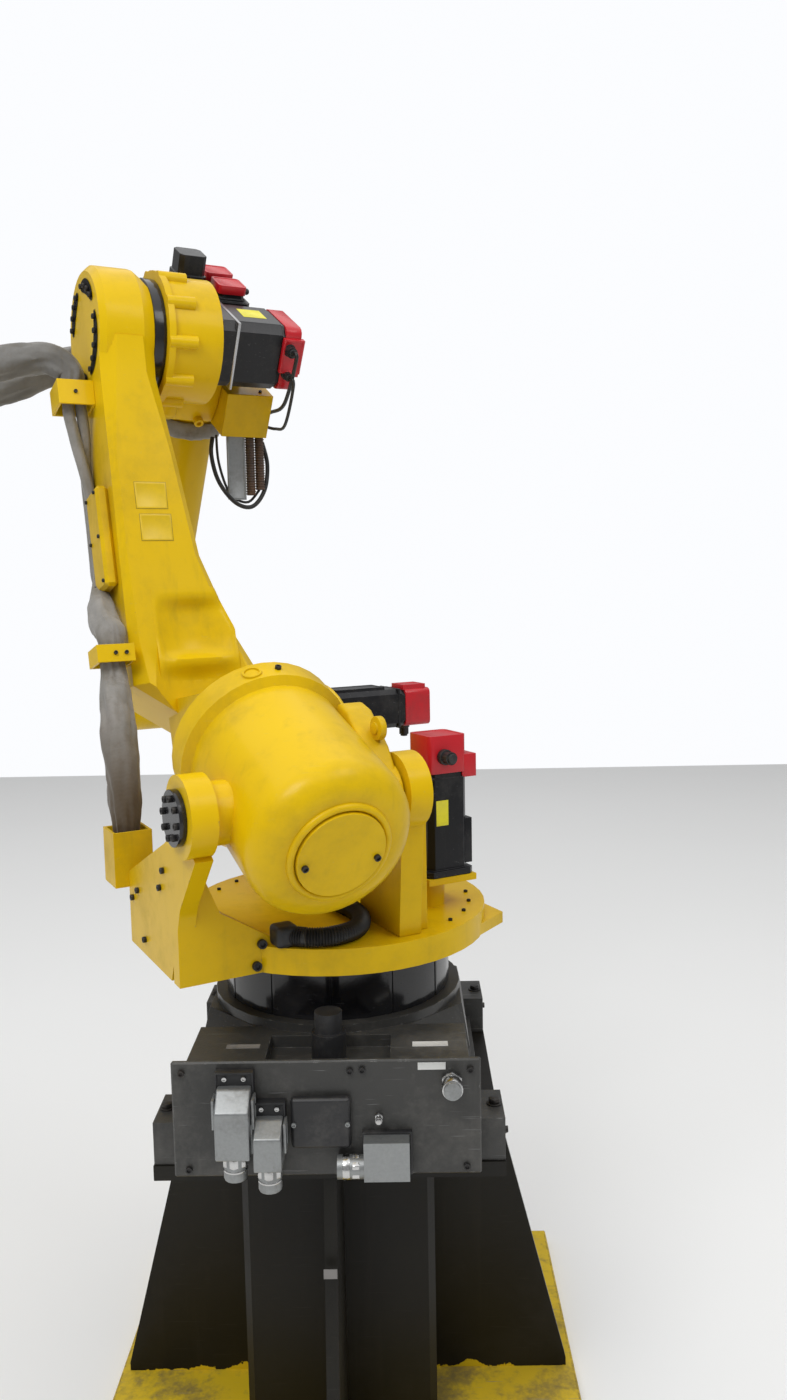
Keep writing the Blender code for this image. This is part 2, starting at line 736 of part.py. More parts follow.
def build_yokes(turret, paint):
    foot = DISC_LOW
    boss_near = BALANCER_X - TRUNNION_HALF
    boss_far = boss_near + YOKE_TIP_W
    bore_r = TRUNNION_PIN_R + PIN_GAP
    centre = (0, BALANCER_Y, BALANCER_Z)

    side_wall = [
        (YOKE_REAR + 0.05, foot), (YOKE_FRONT, foot), (YOKE_FRONT, YOKE_FRONT_HIGH),
        (YOKE_REAR + 0.06, BALANCER_Z - YOKE_BOSS_R),
        (BALANCER_Y + 0.04, BALANCER_Z - 0.02), (BALANCER_Y - YOKE_BOSS_R / 2, BALANCER_Z - YOKE_BOSS_R),
        (YOKE_REAR - 0.02, foot + 0.16),
    ]
    left = solid("balancer_yoke_left", prism(side_wall, -YOKE_OUT, -YOKE_OUT + YOKE_WALL, "X"), turret, paint)
    rear_wall = [
        (-YOKE_OUT, foot), (-DISC_R * 0.79, foot), (-YOKE_IN, foot + YOKE_FLOOR_H),
        (YOKE_DIP_X, YOKE_DIP_Z), (YOKE_NECK_X, BALANCER_Z - YOKE_BOSS_R), (-YOKE_OUT, BALANCER_Z - YOKE_BOSS_R),
    ]
    fuse(left, prism(rear_wall, YOKE_REAR, YOKE_REAR + YOKE_WALL, "Y"))
    fuse(left, rod(YOKE_BOSS_R, boss_near, boss_far, "X", centre))
    carve(left, rod(bore_r, boss_near - OVERRUN, boss_far + OVERRUN, "X", centre))
    carve(left, rod(DISC_R + SEAT_GAP, foot - OVERRUN, DISC_TOP + SEAT_GAP, steps=48))

    far = BALANCER_X + TRUNNION_HALF
    near = far - YOKE_TIP_W
    column = [
        (BALANCER_Y - 0.02, DISC_TOP + SEAT_GAP), (BALANCER_Y + 0.16, DISC_TOP + SEAT_GAP),
        (BALANCER_Y + 0.10, BALANCER_Z - YOKE_BOSS_R / 2), (BALANCER_Y - YOKE_BOSS_R / 2, BALANCER_Z - YOKE_BOSS_R / 2),
    ]
    right = solid("balancer_yoke_right", prism(column, near, far, "X"), turret, paint)
    rib_top = BALANCER_Z - YOKE_BOSS_R + YOKE_RIB_LAP
    rib = [(BALANCER_Y, DISC_TOP + SEAT_GAP), (BALANCER_Y + YOKE_RIB_FOOT, DISC_TOP + SEAT_GAP),
           (BALANCER_Y + YOKE_RIB_TOP, rib_top), (BALANCER_Y, rib_top)]
    fuse(right, prism(rib, near + YOKE_RIB_LAP, far + YOKE_RIB_OUT, "X"))
    fuse(right, rod(YOKE_BOSS_R, near, far, "X", centre))
    carve(right, rod(bore_r, near - OVERRUN, far + OVERRUN, "X", centre))

    dark = painted("trunnion_dark", BLACK_STEEL)
    solid("trunnion_cap_left", rod(TRUNNION_CAP_R, boss_near - SEAT_GAP - TRUNNION_CAP_T, boss_near - SEAT_GAP,
                                   "X", centre), turret, dark)
    solid("trunnion_cap_right", rod(TRUNNION_CAP_R, far + SEAT_GAP, far + SEAT_GAP + TRUNNION_CAP_T,
                                    "X", centre), turret, dark)


def build_cable_bracket(turret, paint):
    """A sheet cup on the front edge of the left bracket's wall."""
    half = BRACKET_SIDE / 2
    near = YOKE_FRONT + SEAT_GAP
    far = near + BRACKET_SIDE
    bracket = solid("cable_bracket", box((BRACKET_X - half, near, BRACKET_LOW), (BRACKET_X + half, far, BRACKET_HIGH)),
                    turret, paint)
    carve(bracket, box((BRACKET_X - half + BRACKET_T, near + BRACKET_T, BRACKET_LOW - OVERRUN),
                       (BRACKET_X + half - BRACKET_T, far - BRACKET_T, BRACKET_HIGH + OVERRUN)))


def build_balancer(balancer):
    paint = painted("balancer_yellow", PAINT)
    outline = [(0, -BALANCER_REAR)]
    steps = 4
    for number in range(steps + 1):
        angle = math.pi / 2 * number / steps
        outline.append((BALANCER_R - BALANCER_DOME + BALANCER_DOME * math.sin(angle),
                        -BALANCER_REAR + BALANCER_DOME - BALANCER_DOME * math.cos(angle)))
    collar = BALANCER_FRONT - COLLAR_L
    outline += [
        (BALANCER_R, collar), (COLLAR_R, collar + COLLAR_RISE), (COLLAR_R, BALANCER_FRONT - COLLAR_LIP),
        (COLLAR_R - COLLAR_LIP, BALANCER_FRONT),
        (BALANCER_MOUTH_R, BALANCER_FRONT), (BALANCER_MOUTH_R, BALANCER_FRONT - BALANCER_MOUTH_D),
        (0, BALANCER_FRONT - BALANCER_MOUTH_D),
    ]
    cylinder = solid("balancer_cylinder", turned(outline, "Y", steps=40), balancer, paint)
    boss = TRUNNION_HALF - YOKE_TIP_W - RUN_GAP
    fuse(cylinder, rod(TRUNNION_BOSS_R, -boss, boss, "X"))
    pin = TRUNNION_HALF - PIN_GAP
    fuse(cylinder, rod(TRUNNION_PIN_R, -pin, pin, "X"))
    carve(cylinder, rod(BALANCER_MOUTH_R, BALANCER_FRONT - BALANCER_MOUTH_D, BALANCER_FRONT + OVERRUN, "Y", steps=40))
    rear = -BALANCER_REAR - SEAT_GAP
    solid("balancer_end_cover", rod(END_COVER_R, rear - END_COVER_T, rear, "Y"), balancer, paint)


def build_rod(pin_frame):
    steel = material("rod_steel", STEEL, 0.3, 0.9)
    half = ROD_EYE_W / 2
    eye = solid("balancer_rod", rod(ROD_EYE_R, -half, half, "X"), pin_frame, steel)
    fuse(eye, rod(ROD_R, -ROD_LENGTH, 0, "Y", steps=SMALL_STEPS))
    carve(eye, rod(PIN_R + PIN_GAP, -half - OVERRUN, half + OVERRUN, "X", steps=SMALL_STEPS))


def build_lower_arm(arm):
    paint = painted("arm_yellow", PAINT)
    loops = [section(ARM_LEFT, right, rear, front, corner, height)
             for height, right, rear, front, corner in ARM_SECTIONS]
    web = solid("lower_arm", loft([section(HUB_LEFT, HUB_RIGHT, *ARM_ROOT)] + loops), arm, paint)
    hub = [(0, HUB_LEFT), (HUB_R - HUB_CHAMFER, HUB_LEFT), (HUB_R, HUB_LEFT + HUB_CHAMFER),
           (HUB_R, HUB_RIGHT - HUB_CHAMFER), (HUB_R - HUB_CHAMFER, HUB_RIGHT), (0, HUB_RIGHT)]
    fuse(web, turned(hub, "X", steps=40))
    head = [(0, ARM_LEFT), (HEAD_R - HUB_CHAMFER, ARM_LEFT), (HEAD_R, ARM_LEFT + HUB_CHAMFER),
            (HEAD_R, HEAD_RIGHT - HEAD_CHAMFER), (HEAD_R - HEAD_SLOPE, HEAD_RIGHT), (0, HEAD_RIGHT)]
    fuse(web, turned(head, "X", (0, 0, ARM_LENGTH), 40))
    high = ARM_LENGTH + HEAD_R
    low = ARM_LENGTH + HEAD_CUT_LOW
    cut = [(HEAD_CUT_IN, high), (HEAD_CUT_OUT, low), (HEAD_CUT_OUT, high + OVERRUN), (HEAD_CUT_IN, high + OVERRUN)]
    carve(web, prism(cut, -HEAD_R - OVERRUN, HEAD_R + OVERRUN, "Y"))
    carve(web, rod(CHANNEL_R, ARM_ROOT[3], CHANNEL_HIGH, "Z", (BALANCER_X, CHANNEL_Y, 0), 40))
    slot = ROD_EYE_W / 2 + CLEVIS_GAP
    pin_centre = (0, CLEVIS_Y, CLEVIS_Z)
    ear = [(0, -CLEVIS_ROOT_LOW), (0, CLEVIS_ROOT_HIGH), (CLEVIS_Y, CLEVIS_Z + CLEVIS_R),
           (CLEVIS_Y, CLEVIS_Z - CLEVIS_R)]
    for side in (-1, 1):
        inner = BALANCER_X + side * slot
        outer = inner + side * CLEVIS_EAR_W
        low = min(inner, outer)
        high = max(inner, outer)
        fuse(web, prism(ear, low, high, "X"))
        fuse(web, rod(CLEVIS_R, low, high, "X", pin_centre))
    reach = slot + CLEVIS_EAR_W + PIN_LAP
    carve(web, rod(PIN_R + SEAT_GAP, BALANCER_X - reach, BALANCER_X + reach, "X", pin_centre, SMALL_STEPS))
    pin = rod(PIN_R, BALANCER_X - reach, BALANCER_X + reach, "X", pin_centre, SMALL_STEPS)
    solid("balancer_pin", pin, arm, material("pin_steel", STEEL, 0.3, 0.9))
    ring = rod(J3_RING_R, HEAD_RIGHT + SEAT_GAP, BARREL_LEFT - TURN_GAP, "X", (0, 0, ARM_LENGTH))
    solid("j3_reducer", ring, arm, painted("reducer_black_j3", BLACK_STEEL))
    left = ARM_LEFT - SEAT_GAP
    cover = solid("arm_side_cover", box((left - SIDE_COVER_T, -SIDE_COVER_W / 2, SIDE_COVER_LOW),
                                        (left, SIDE_COVER_W / 2, SIDE_COVER_HIGH)), arm, paint)
    soften(cover, SIDE_COVER_T / 4)
    sleeve_ring("lower_hose_clamp", arm, paint, LOWER_RING_Y, LOWER_RING_Z, LOWER_RING_H)
    sleeve_ring("upper_hose_bracket", arm, paint, UPPER_RING_Y, UPPER_RING_Z, UPPER_RING_H)


def sleeve_ring(name, arm, paint, y, z, height):
    """A sheet ring on the arm's left face, round the sleeve."""
    hollow = SLEEVE_R + SEAT_GAP
    half = hollow + RING_WALL
    ring = solid(name, box((SLEEVE_X - half, y - half, z), (SLEEVE_X + half, y + half, z + height)), arm, paint)
    low = (SLEEVE_X - hollow, y - hollow, z - OVERRUN)
    carve(ring, box(low, (SLEEVE_X + hollow, y + hollow, z + height + OVERRUN)))
    return ring


def build_casing(elbow):
    paint = painted("casing_yellow", PAINT)
    casing = solid("arm_casing", rod(BARREL_R, BARREL_LEFT, BARREL_RIGHT, "X", steps=40), elbow, paint)
    body = box((-CASING_X, -CASING_REAR, CASING_LOW), (CASING_X, CASING_FRONT, CASING_TOP))
    bmesh.ops.bevel(body, geom=body.edges[:], offset=CASING_CORNER, segments=2, affect="EDGES")
    web_rear = -CASING_REAR + CASING_CORNER
    web = prism([(-BARREL_R * WEB_SHARE, CASING_LOW / 2), (BARREL_R * WEB_SHARE, 0),
                 (CASING_FRONT - CASING_CORNER, WEB_HIGH), (web_rear, WEB_HIGH), (web_rear, CASING_LOW)],
                WEB_LEFT, BARREL_RIGHT, "X")
    fuse(casing, body, rod(NECK_R, 0, NECK_END, "Y", (0, 0, ELBOW_OFFSET), 40), web)
    fuse(casing, rod(BARREL_RIM, BARREL_LEFT, BARREL_LEFT + BARREL_RIM_T, "X", steps=40))
    for number in range(BARREL_BOSSES):
        angle = 2 * math.pi * number / BARREL_BOSSES
        centre = (0, BARREL_R * math.cos(angle), BARREL_R * math.sin(angle))
        fuse(casing, rod(BARREL_BOSS_R, BARREL_LEFT, BARREL_LEFT + BARREL_BOSS_L, "X", centre, SMALL_STEPS))
    black = painted("wrist_motor_black", BLACK_PLASTIC)
    motor("j3_motor", elbow, black, (BARREL_RIGHT + SEAT_GAP, 0, 0), "+X", J3_MOTOR_HALF, J3_MOTOR_L, J3_MOTOR_CAP)
    back = -CASING_REAR - SEAT_GAP
    motor("j4_motor", elbow, black, (J4_MOTOR_X, back, J4_MOTOR_Z), "-Y", REAR_MOTOR_HALF, J4_MOTOR_L, J4_MOTOR_CAP)
    motor("j5_motor", elbow, black, (J5_MOTOR_X, back, J5_MOTOR_Z), "-Y", REAR_MOTOR_HALF, WRIST_MOTOR_L,
          WRIST_MOTOR_CAP)
    motor("j6_motor", elbow, black, (J5_MOTOR_X, back, J6_MOTOR_Z), "-Y", REAR_MOTOR_HALF, WRIST_MOTOR_L,
          WRIST_MOTOR_CAP)
    low = CASING_LOW - SEAT_GAP
    solid("cable_box", box((CABLE_BOX_X, CABLE_BOX_Y, low - CABLE_BOX_H),
                           (CABLE_BOX_X + CABLE_BOX_W, CABLE_BOX_Y + CABLE_BOX_L, low)), elbow, paint)
    build_loop_bracket(elbow, paint)


def build_loop_bracket(elbow, paint):
    """A sheet cup on the side of the casing that holds the loop's far end."""
    foot = WEB_LEFT - SEAT_GAP
    hollow = SLEEVE_R + SEAT_GAP
    half = hollow + RING_WALL
    bracket = solid("loop_bracket", box((LOOP_BRACKET_OUT, LOOP_BRACKET_Y - half, LOOP_BRACKET_Z - half),
                                        (foot, LOOP_BRACKET_Y + half, LOOP_BRACKET_Z + half)), elbow, paint)
    carve(bracket, box((LOOP_BRACKET_OUT - OVERRUN, LOOP_BRACKET_Y - hollow, LOOP_BRACKET_Z - hollow),
                       (foot - RING_WALL, LOOP_BRACKET_Y + hollow, LOOP_BRACKET_Z + hollow)))


def build_forearm(forearm):
    paint = painted("forearm_yellow", PAINT)
    start = NECK_END + TURN_GAP
    fork_start = FOREARM_LENGTH - FORK_REACH
    tube = [(0, start), (FOREARM_R, start), (FOREARM_TIP_R, fork_start + OVERRUN), (0, fork_start + OVERRUN)]
    arm = solid("forearm", turned(tube, "Y", steps=32), forearm, paint)
    outline = [(fork_start, -FOREARM_TIP_R), (FOREARM_LENGTH, -FORK_R), (FOREARM_LENGTH, FORK_R),
               (fork_start, FOREARM_TIP_R)]
    fuse(arm, prism(outline, -FORK_HALF, FORK_HALF, "X"), rod(FORK_R, -FORK_HALF, FORK_HALF, "X",
                                                              (0, FOREARM_LENGTH, 0)))
    slot = FORK_HALF - FORK_CHEEK
    carve(arm, box((-slot, FOREARM_LENGTH - FORK_SLOT, -FORK_R - OVERRUN),
                   (slot, FOREARM_LENGTH + FORK_R + OVERRUN, FORK_R + OVERRUN)))


def build_wrist(wrist, flange):
    paint = painted("wrist_yellow", PAINT)
    half = FORK_HALF - FORK_CHEEK - TURN_GAP
    body = solid("wrist_body", rod(WRIST_R, -half, half, "X"), wrist, paint)
    nose_end = WRIST_LENGTH - FLANGE_T - TURN_GAP
    fuse(body, rod(WRIST_NOSE_R, 0, nose_end, "Y"))
    steel = material("flange_steel", STEEL, 0.35, 0.8)
    plate = solid("tool_flange", rod(FLANGE_R, -FLANGE_T, 0, "Y"), flange, steel)
    carve(plate, rod(FLANGE_SPIGOT_R, -FLANGE_SPIGOT_D, OVERRUN, "Y"))


def build_dress_pack(turret, arm):
    """The sleeves run from the turret's bracket up the arm's left side and in a loop to the casing."""
    fabric = material("sleeve_fabric", FABRIC, 0.9, 0.0)
    lean = Matrix.Rotation(-ARM_LEAN, 3, "X")
    shoulder = Vector((0, J2_FORWARD, J2_HEIGHT))
    lower_end = [shoulder + lean @ Vector((SLEEVE_X, LOWER_RING_Y, LOWER_RING_Z + lift))
                 for lift in (-SLEEVE_R, 0, SLEEVE_LAP / 2)]
    bracket_y = YOKE_FRONT + SEAT_GAP + BRACKET_SIDE / 2
    lower_start = [(BRACKET_X, bracket_y, BRACKET_HIGH + lift) for lift in (-SLEEVE_LAP, 0, SLEEVE_R)]
    hose("dress_sleeve_lower", lower_start + LOWER_SLEEVE_ROUTE + lower_end, SLEEVE_R, turret, fabric)

    lower_top = LOWER_RING_Z + LOWER_RING_H
    upper_start = [(SLEEVE_X, LOWER_RING_Y, lower_top + lift) for lift in (-SLEEVE_LAP / 2, 0, SLEEVE_R)]
    upper_end = [(SLEEVE_X, UPPER_RING_Y, UPPER_RING_Z + lift) for lift in (-SLEEVE_R, 0, SLEEVE_LAP)]
    hose("dress_sleeve_upper", upper_start + UPPER_SLEEVE_ROUTE + upper_end, SLEEVE_R, arm, fabric)

    swing = Matrix.Rotation(ARM_LEAN - FOREARM_DIP, 3, "X")
    elbow = Vector((0, 0, ARM_LENGTH))
    loop_end = [elbow + swing @ Vector((LOOP_BRACKET_OUT + lift, LOOP_BRACKET_Y, LOOP_BRACKET_Z))
                for lift in (-SLEEVE_R, 0, SLEEVE_LAP)]
    upper_top = UPPER_RING_Z + UPPER_RING_H
    loop_start = [(SLEEVE_X, UPPER_RING_Y, upper_top + lift) for lift in (-SLEEVE_LAP, 0, SLEEVE_R)]
    hose("dress_loop", loop_start + LOOP_ROUTE + loop_end, SLEEVE_R, arm, fabric)


def main():
    clear_scene()
    world = frame("riser_frame", None, (0, 0, 0))
    base = frame("base_frame", None, (0, 0, RISER_H))
    turret = frame("j1_frame", base, (0, 0, 0), turn=TURRET_TURN)
    arm = frame("j2_frame", turret, (0, J2_FORWARD, J2_HEIGHT), pitch=-ARM_LEAN)
    elbow = frame("j3_frame", arm, (0, 0, ARM_LENGTH), pitch=ARM_LEAN - FOREARM_DIP)
    forearm = frame("j4_frame", elbow, (0, 0, ELBOW_OFFSET))
    wrist = frame("j5_frame", forearm, (0, FOREARM_LENGTH, 0), pitch=WRIST_BEND)
    flange = frame("j6_frame", wrist, (0, WRIST_LENGTH, 0))
    balancer = frame("balancer_frame", turret, (BALANCER_X, BALANCER_Y, BALANCER_Z), pitch=BALANCER_TILT)
    pin_frame = frame("balancer_pin_frame", arm, (BALANCER_X, CLEVIS_Y, CLEVIS_Z), pitch=BALANCER_TILT + ARM_LEAN)
    build_riser(world)
    build_base(base)
    build_turret(turret)
    build_balancer(balancer)
    build_rod(pin_frame)
    build_lower_arm(arm)
    build_casing(elbow)
    build_forearm(forearm)
    build_wrist(wrist, flange)
    build_dress_pack(turret, arm)


main()
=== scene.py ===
import json
import math

import bmesh
import bpy
from mathutils import Matrix, Vector, noise

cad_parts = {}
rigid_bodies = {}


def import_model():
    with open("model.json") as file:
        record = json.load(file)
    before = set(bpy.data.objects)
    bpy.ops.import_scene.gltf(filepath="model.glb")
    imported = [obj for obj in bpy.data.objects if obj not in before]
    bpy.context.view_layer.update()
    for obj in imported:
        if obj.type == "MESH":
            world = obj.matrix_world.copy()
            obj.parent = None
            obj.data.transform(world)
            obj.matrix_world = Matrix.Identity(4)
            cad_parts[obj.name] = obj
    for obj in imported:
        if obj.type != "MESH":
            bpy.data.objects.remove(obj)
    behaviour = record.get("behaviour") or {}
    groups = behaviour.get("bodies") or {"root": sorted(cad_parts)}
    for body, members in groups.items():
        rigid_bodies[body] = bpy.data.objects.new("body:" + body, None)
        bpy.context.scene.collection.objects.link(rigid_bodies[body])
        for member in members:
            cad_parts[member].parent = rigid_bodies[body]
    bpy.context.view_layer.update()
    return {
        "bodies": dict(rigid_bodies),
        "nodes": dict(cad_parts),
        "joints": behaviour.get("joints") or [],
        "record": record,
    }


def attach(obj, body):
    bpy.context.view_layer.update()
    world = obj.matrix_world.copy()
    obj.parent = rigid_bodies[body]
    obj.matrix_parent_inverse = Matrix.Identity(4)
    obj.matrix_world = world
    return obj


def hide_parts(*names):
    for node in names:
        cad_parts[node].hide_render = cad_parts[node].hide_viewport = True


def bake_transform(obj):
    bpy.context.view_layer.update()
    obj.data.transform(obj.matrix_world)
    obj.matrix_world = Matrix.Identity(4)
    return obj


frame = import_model()
print("frame loaded")

# The arm's own frames, taken from the part's named sizes
pose = {
    "riserHeight": 0.754,
    "turretTurn": math.radians(29.1),
    "armLean": math.radians(14.6),
    "forearmDip": math.radians(60.0),
    "balancerTilt": math.radians(22.0),
    "shoulder": (0, 0.312, 0.670),
    "armLength": 1.075,
    "elbowOffset": 0.225,
    "balancer": (-0.200, -0.280, 0.6956),
}

baseFrame = Matrix.Translation((0, 0, pose["riserHeight"]))
turretFrame = baseFrame @ Matrix.Rotation(pose["turretTurn"], 4, "Z")
armFrame = turretFrame @ Matrix.Translation(pose["shoulder"]) @ Matrix.Rotation(-pose["armLean"], 4, "X")
elbowTurn = Matrix.Rotation(pose["armLean"] - pose["forearmDip"], 4, "X")
elbowFrame = armFrame @ Matrix.Translation((0, 0, pose["armLength"])) @ elbowTurn
forearmFrame = elbowFrame @ Matrix.Translation((0, 0, pose["elbowOffset"]))
balancerTurn = Matrix.Rotation(pose["balancerTilt"], 4, "X")
balancerFrame = turretFrame @ Matrix.Translation(pose["balancer"]) @ balancerTurn


# Materials: shared effects first

def startGroup(name, inputs, outputs):
    group = bpy.data.node_groups.new(name, "ShaderNodeTree")
    for label, kind, value in inputs:
        made = group.interface.new_socket(name=label, in_out="INPUT", socket_type=kind)
        if value is not None:
            made.default_value = value
    for label, kind in outputs:
        group.interface.new_socket(name=label, in_out="OUTPUT", socket_type=kind)
    nodes = group.nodes
    return group, nodes, group.links, nodes.new("NodeGroupInput"), nodes.new("NodeGroupOutput")


def mathNode(nodes, links, kind, first, second=None, clamp=False):
    made = nodes.new("ShaderNodeMath")
    made.operation = kind
    made.use_clamp = clamp
    for socket, value in zip(made.inputs, (first, second)):
        if value is None:
            continue
        if isinstance(value, (int, float)):
            socket.default_value = value
        else:
            links.new(value, socket)
    return made.outputs[0]


def noiseNode(nodes, links, vector, scale, detail, rough=0.55):
    made = nodes.new("ShaderNodeTexNoise")
    links.new(vector, made.inputs["Vector"])
    made.inputs["Detail"].default_value = detail
    made.inputs["Roughness"].default_value = rough
    if isinstance(scale, (int, float)):
        made.inputs["Scale"].default_value = scale
    else:
        links.new(scale, made.inputs["Scale"])
    return made.outputs["Fac"]


def rampNode(nodes, links, value, low, high):
    made = nodes.new("ShaderNodeMapRange")
    made.interpolation_type = "SMOOTHSTEP"
    links.new(value, made.inputs["Value"])
    for label, limit in (("From Min", low), ("From Max", high)):
        if isinstance(limit, (int, float)):
            made.inputs[label].default_value = limit
        else:
            links.new(limit, made.inputs[label])
    return made.outputs["Result"]


def mixColour(nodes, links, share, first, second, blend="MIX"):
    made = nodes.new("ShaderNodeMix")
    made.data_type = "RGBA"
    made.blend_type = blend
    made.clamp_factor = True
    for socket, value in ((made.inputs[0], share), (made.inputs[6], first), (made.inputs[7], second)):
        if isinstance(value, (int, float)):
            socket.default_value = value
        elif isinstance(value, tuple):
            socket.default_value = (*value, 1.0)
        else:
            links.new(value, socket)
    return made.outputs[2]


def edgeWearGroup():
    group, nodes, links, entry, out = startGroup(
        "edgeWear",
        [("Vector", "NodeSocketVector", None), ("Width", "NodeSocketFloat", 0.004),
         ("Amount", "NodeSocketFloat", 0.5)],
        [("Mask", "NodeSocketFloat")])
    bevel = nodes.new("ShaderNodeBevel")
    bevel.samples = 4
    links.new(entry.outputs["Width"], bevel.inputs["Radius"])
    geometry = nodes.new("ShaderNodeNewGeometry")
    dot = nodes.new("ShaderNodeVectorMath")
    dot.operation = "DOT_PRODUCT"
    links.new(bevel.outputs["Normal"], dot.inputs[0])
    links.new(geometry.outputs["Normal"], dot.inputs[1])
    edge = rampNode(nodes, links, mathNode(nodes, links, "SUBTRACT", 1.0, dot.outputs["Value"]), 0.01, 0.12)
    chips = noiseNode(nodes, links, entry.outputs["Vector"], 38.0, 6.0, 0.7)
    limit = mathNode(nodes, links, "SUBTRACT", 0.78,
                     mathNode(nodes, links, "MULTIPLY", entry.outputs["Amount"], 0.4))
    chipMask = rampNode(nodes, links, chips, limit, mathNode(nodes, links, "ADD", limit, 0.08))
    links.new(mathNode(nodes, links, "MULTIPLY", edge, chipMask, True), out.inputs["Mask"])
    return group


def grimeGroup():
    group, nodes, links, entry, out = startGroup(
        "grime",
        [("Vector", "NodeSocketVector", None), ("Scale", "NodeSocketFloat", 4.0),
         ("Amount", "NodeSocketFloat", 0.4)],
        [("Mask", "NodeSocketFloat"), ("Streaks", "NodeSocketFloat")])
    broad = noiseNode(nodes, links, entry.outputs["Vector"], entry.outputs["Scale"], 5.0, 0.62)
    fineScale = mathNode(nodes, links, "MULTIPLY", entry.outputs["Scale"], 9.0)
    fine = noiseNode(nodes, links, entry.outputs["Vector"], fineScale, 4.0, 0.7)
    both = mathNode(nodes, links, "ADD", mathNode(nodes, links, "MULTIPLY", broad, 0.7),
                    mathNode(nodes, links, "MULTIPLY", fine, 0.3))
    mask = mathNode(nodes, links, "MULTIPLY", rampNode(nodes, links, both, 0.46, 0.68),
                    entry.outputs["Amount"], True)
    links.new(mask, out.inputs["Mask"])
    stretch = nodes.new("ShaderNodeVectorMath")
    stretch.operation = "MULTIPLY"
    stretch.inputs[1].default_value = (9.0, 9.0, 0.8)
    links.new(entry.outputs["Vector"], stretch.inputs[0])
    runs = noiseNode(nodes, links, stretch.outputs[0], 3.0, 5.0, 0.6)
    streaks = mathNode(nodes, links, "MULTIPLY", rampNode(nodes, links, runs, 0.55, 0.75),
                       entry.outputs["Amount"], True)
    links.new(streaks, out.inputs["Streaks"])
    return group


def scratchGroup():
    group, nodes, links, entry, out = startGroup(
        "scratches",
        [("Vector", "NodeSocketVector", None), ("Amount", "NodeSocketFloat", 0.3)],
        [("Mask", "NodeSocketFloat")])
    found = []
    for turn, scale in ((0.5, 7.0), (1.7, 9.0)):
        mapping = nodes.new("ShaderNodeMapping")
        mapping.inputs["Rotation"].default_value = (turn, turn * 0.6, turn * 1.3)
        mapping.inputs["Scale"].default_value = (1.0, 26.0, 26.0)
        links.new(entry.outputs["Vector"], mapping.inputs["Vector"])
        lines = noiseNode(nodes, links, mapping.outputs[0], scale, 2.0, 0.5)
        found.append(rampNode(nodes, links, lines, 0.70, 0.735))
    both = mathNode(nodes, links, "MAXIMUM", found[0], found[1])
    links.new(mathNode(nodes, links, "MULTIPLY", both, entry.outputs["Amount"], True), out.inputs["Mask"])
    return group


groups = {"edgeWear": edgeWearGroup(), "grime": grimeGroup(), "scratches": scratchGroup()}


def place(nodes, links, group, vector, values):
    made = nodes.new("ShaderNodeGroup")
    made.node_tree = groups[group]
    links.new(vector, made.inputs["Vector"])
    for label, value in values.items():
        made.inputs[label].default_value = value
    return made.outputs


def bumpFrom(nodes, links, height, strength, distance, normal=None):
    made = nodes.new("ShaderNodeBump")
    made.inputs["Strength"].default_value = strength
    made.inputs["Distance"].default_value = distance
    links.new(height, made.inputs["Height"])
    if normal is not None:
        links.new(normal, made.inputs["Normal"])
    return made.outputs["Normal"]


def startMaterial(name):
    material = bpy.data.materials.new(name)
    material.use_nodes = True
    nodes = material.node_tree.nodes
    links = material.node_tree.links
    shader = nodes["Principled BSDF"]
    coords = nodes.new("ShaderNodeTexCoord").outputs["Object"]
    return material, nodes, links, shader, coords


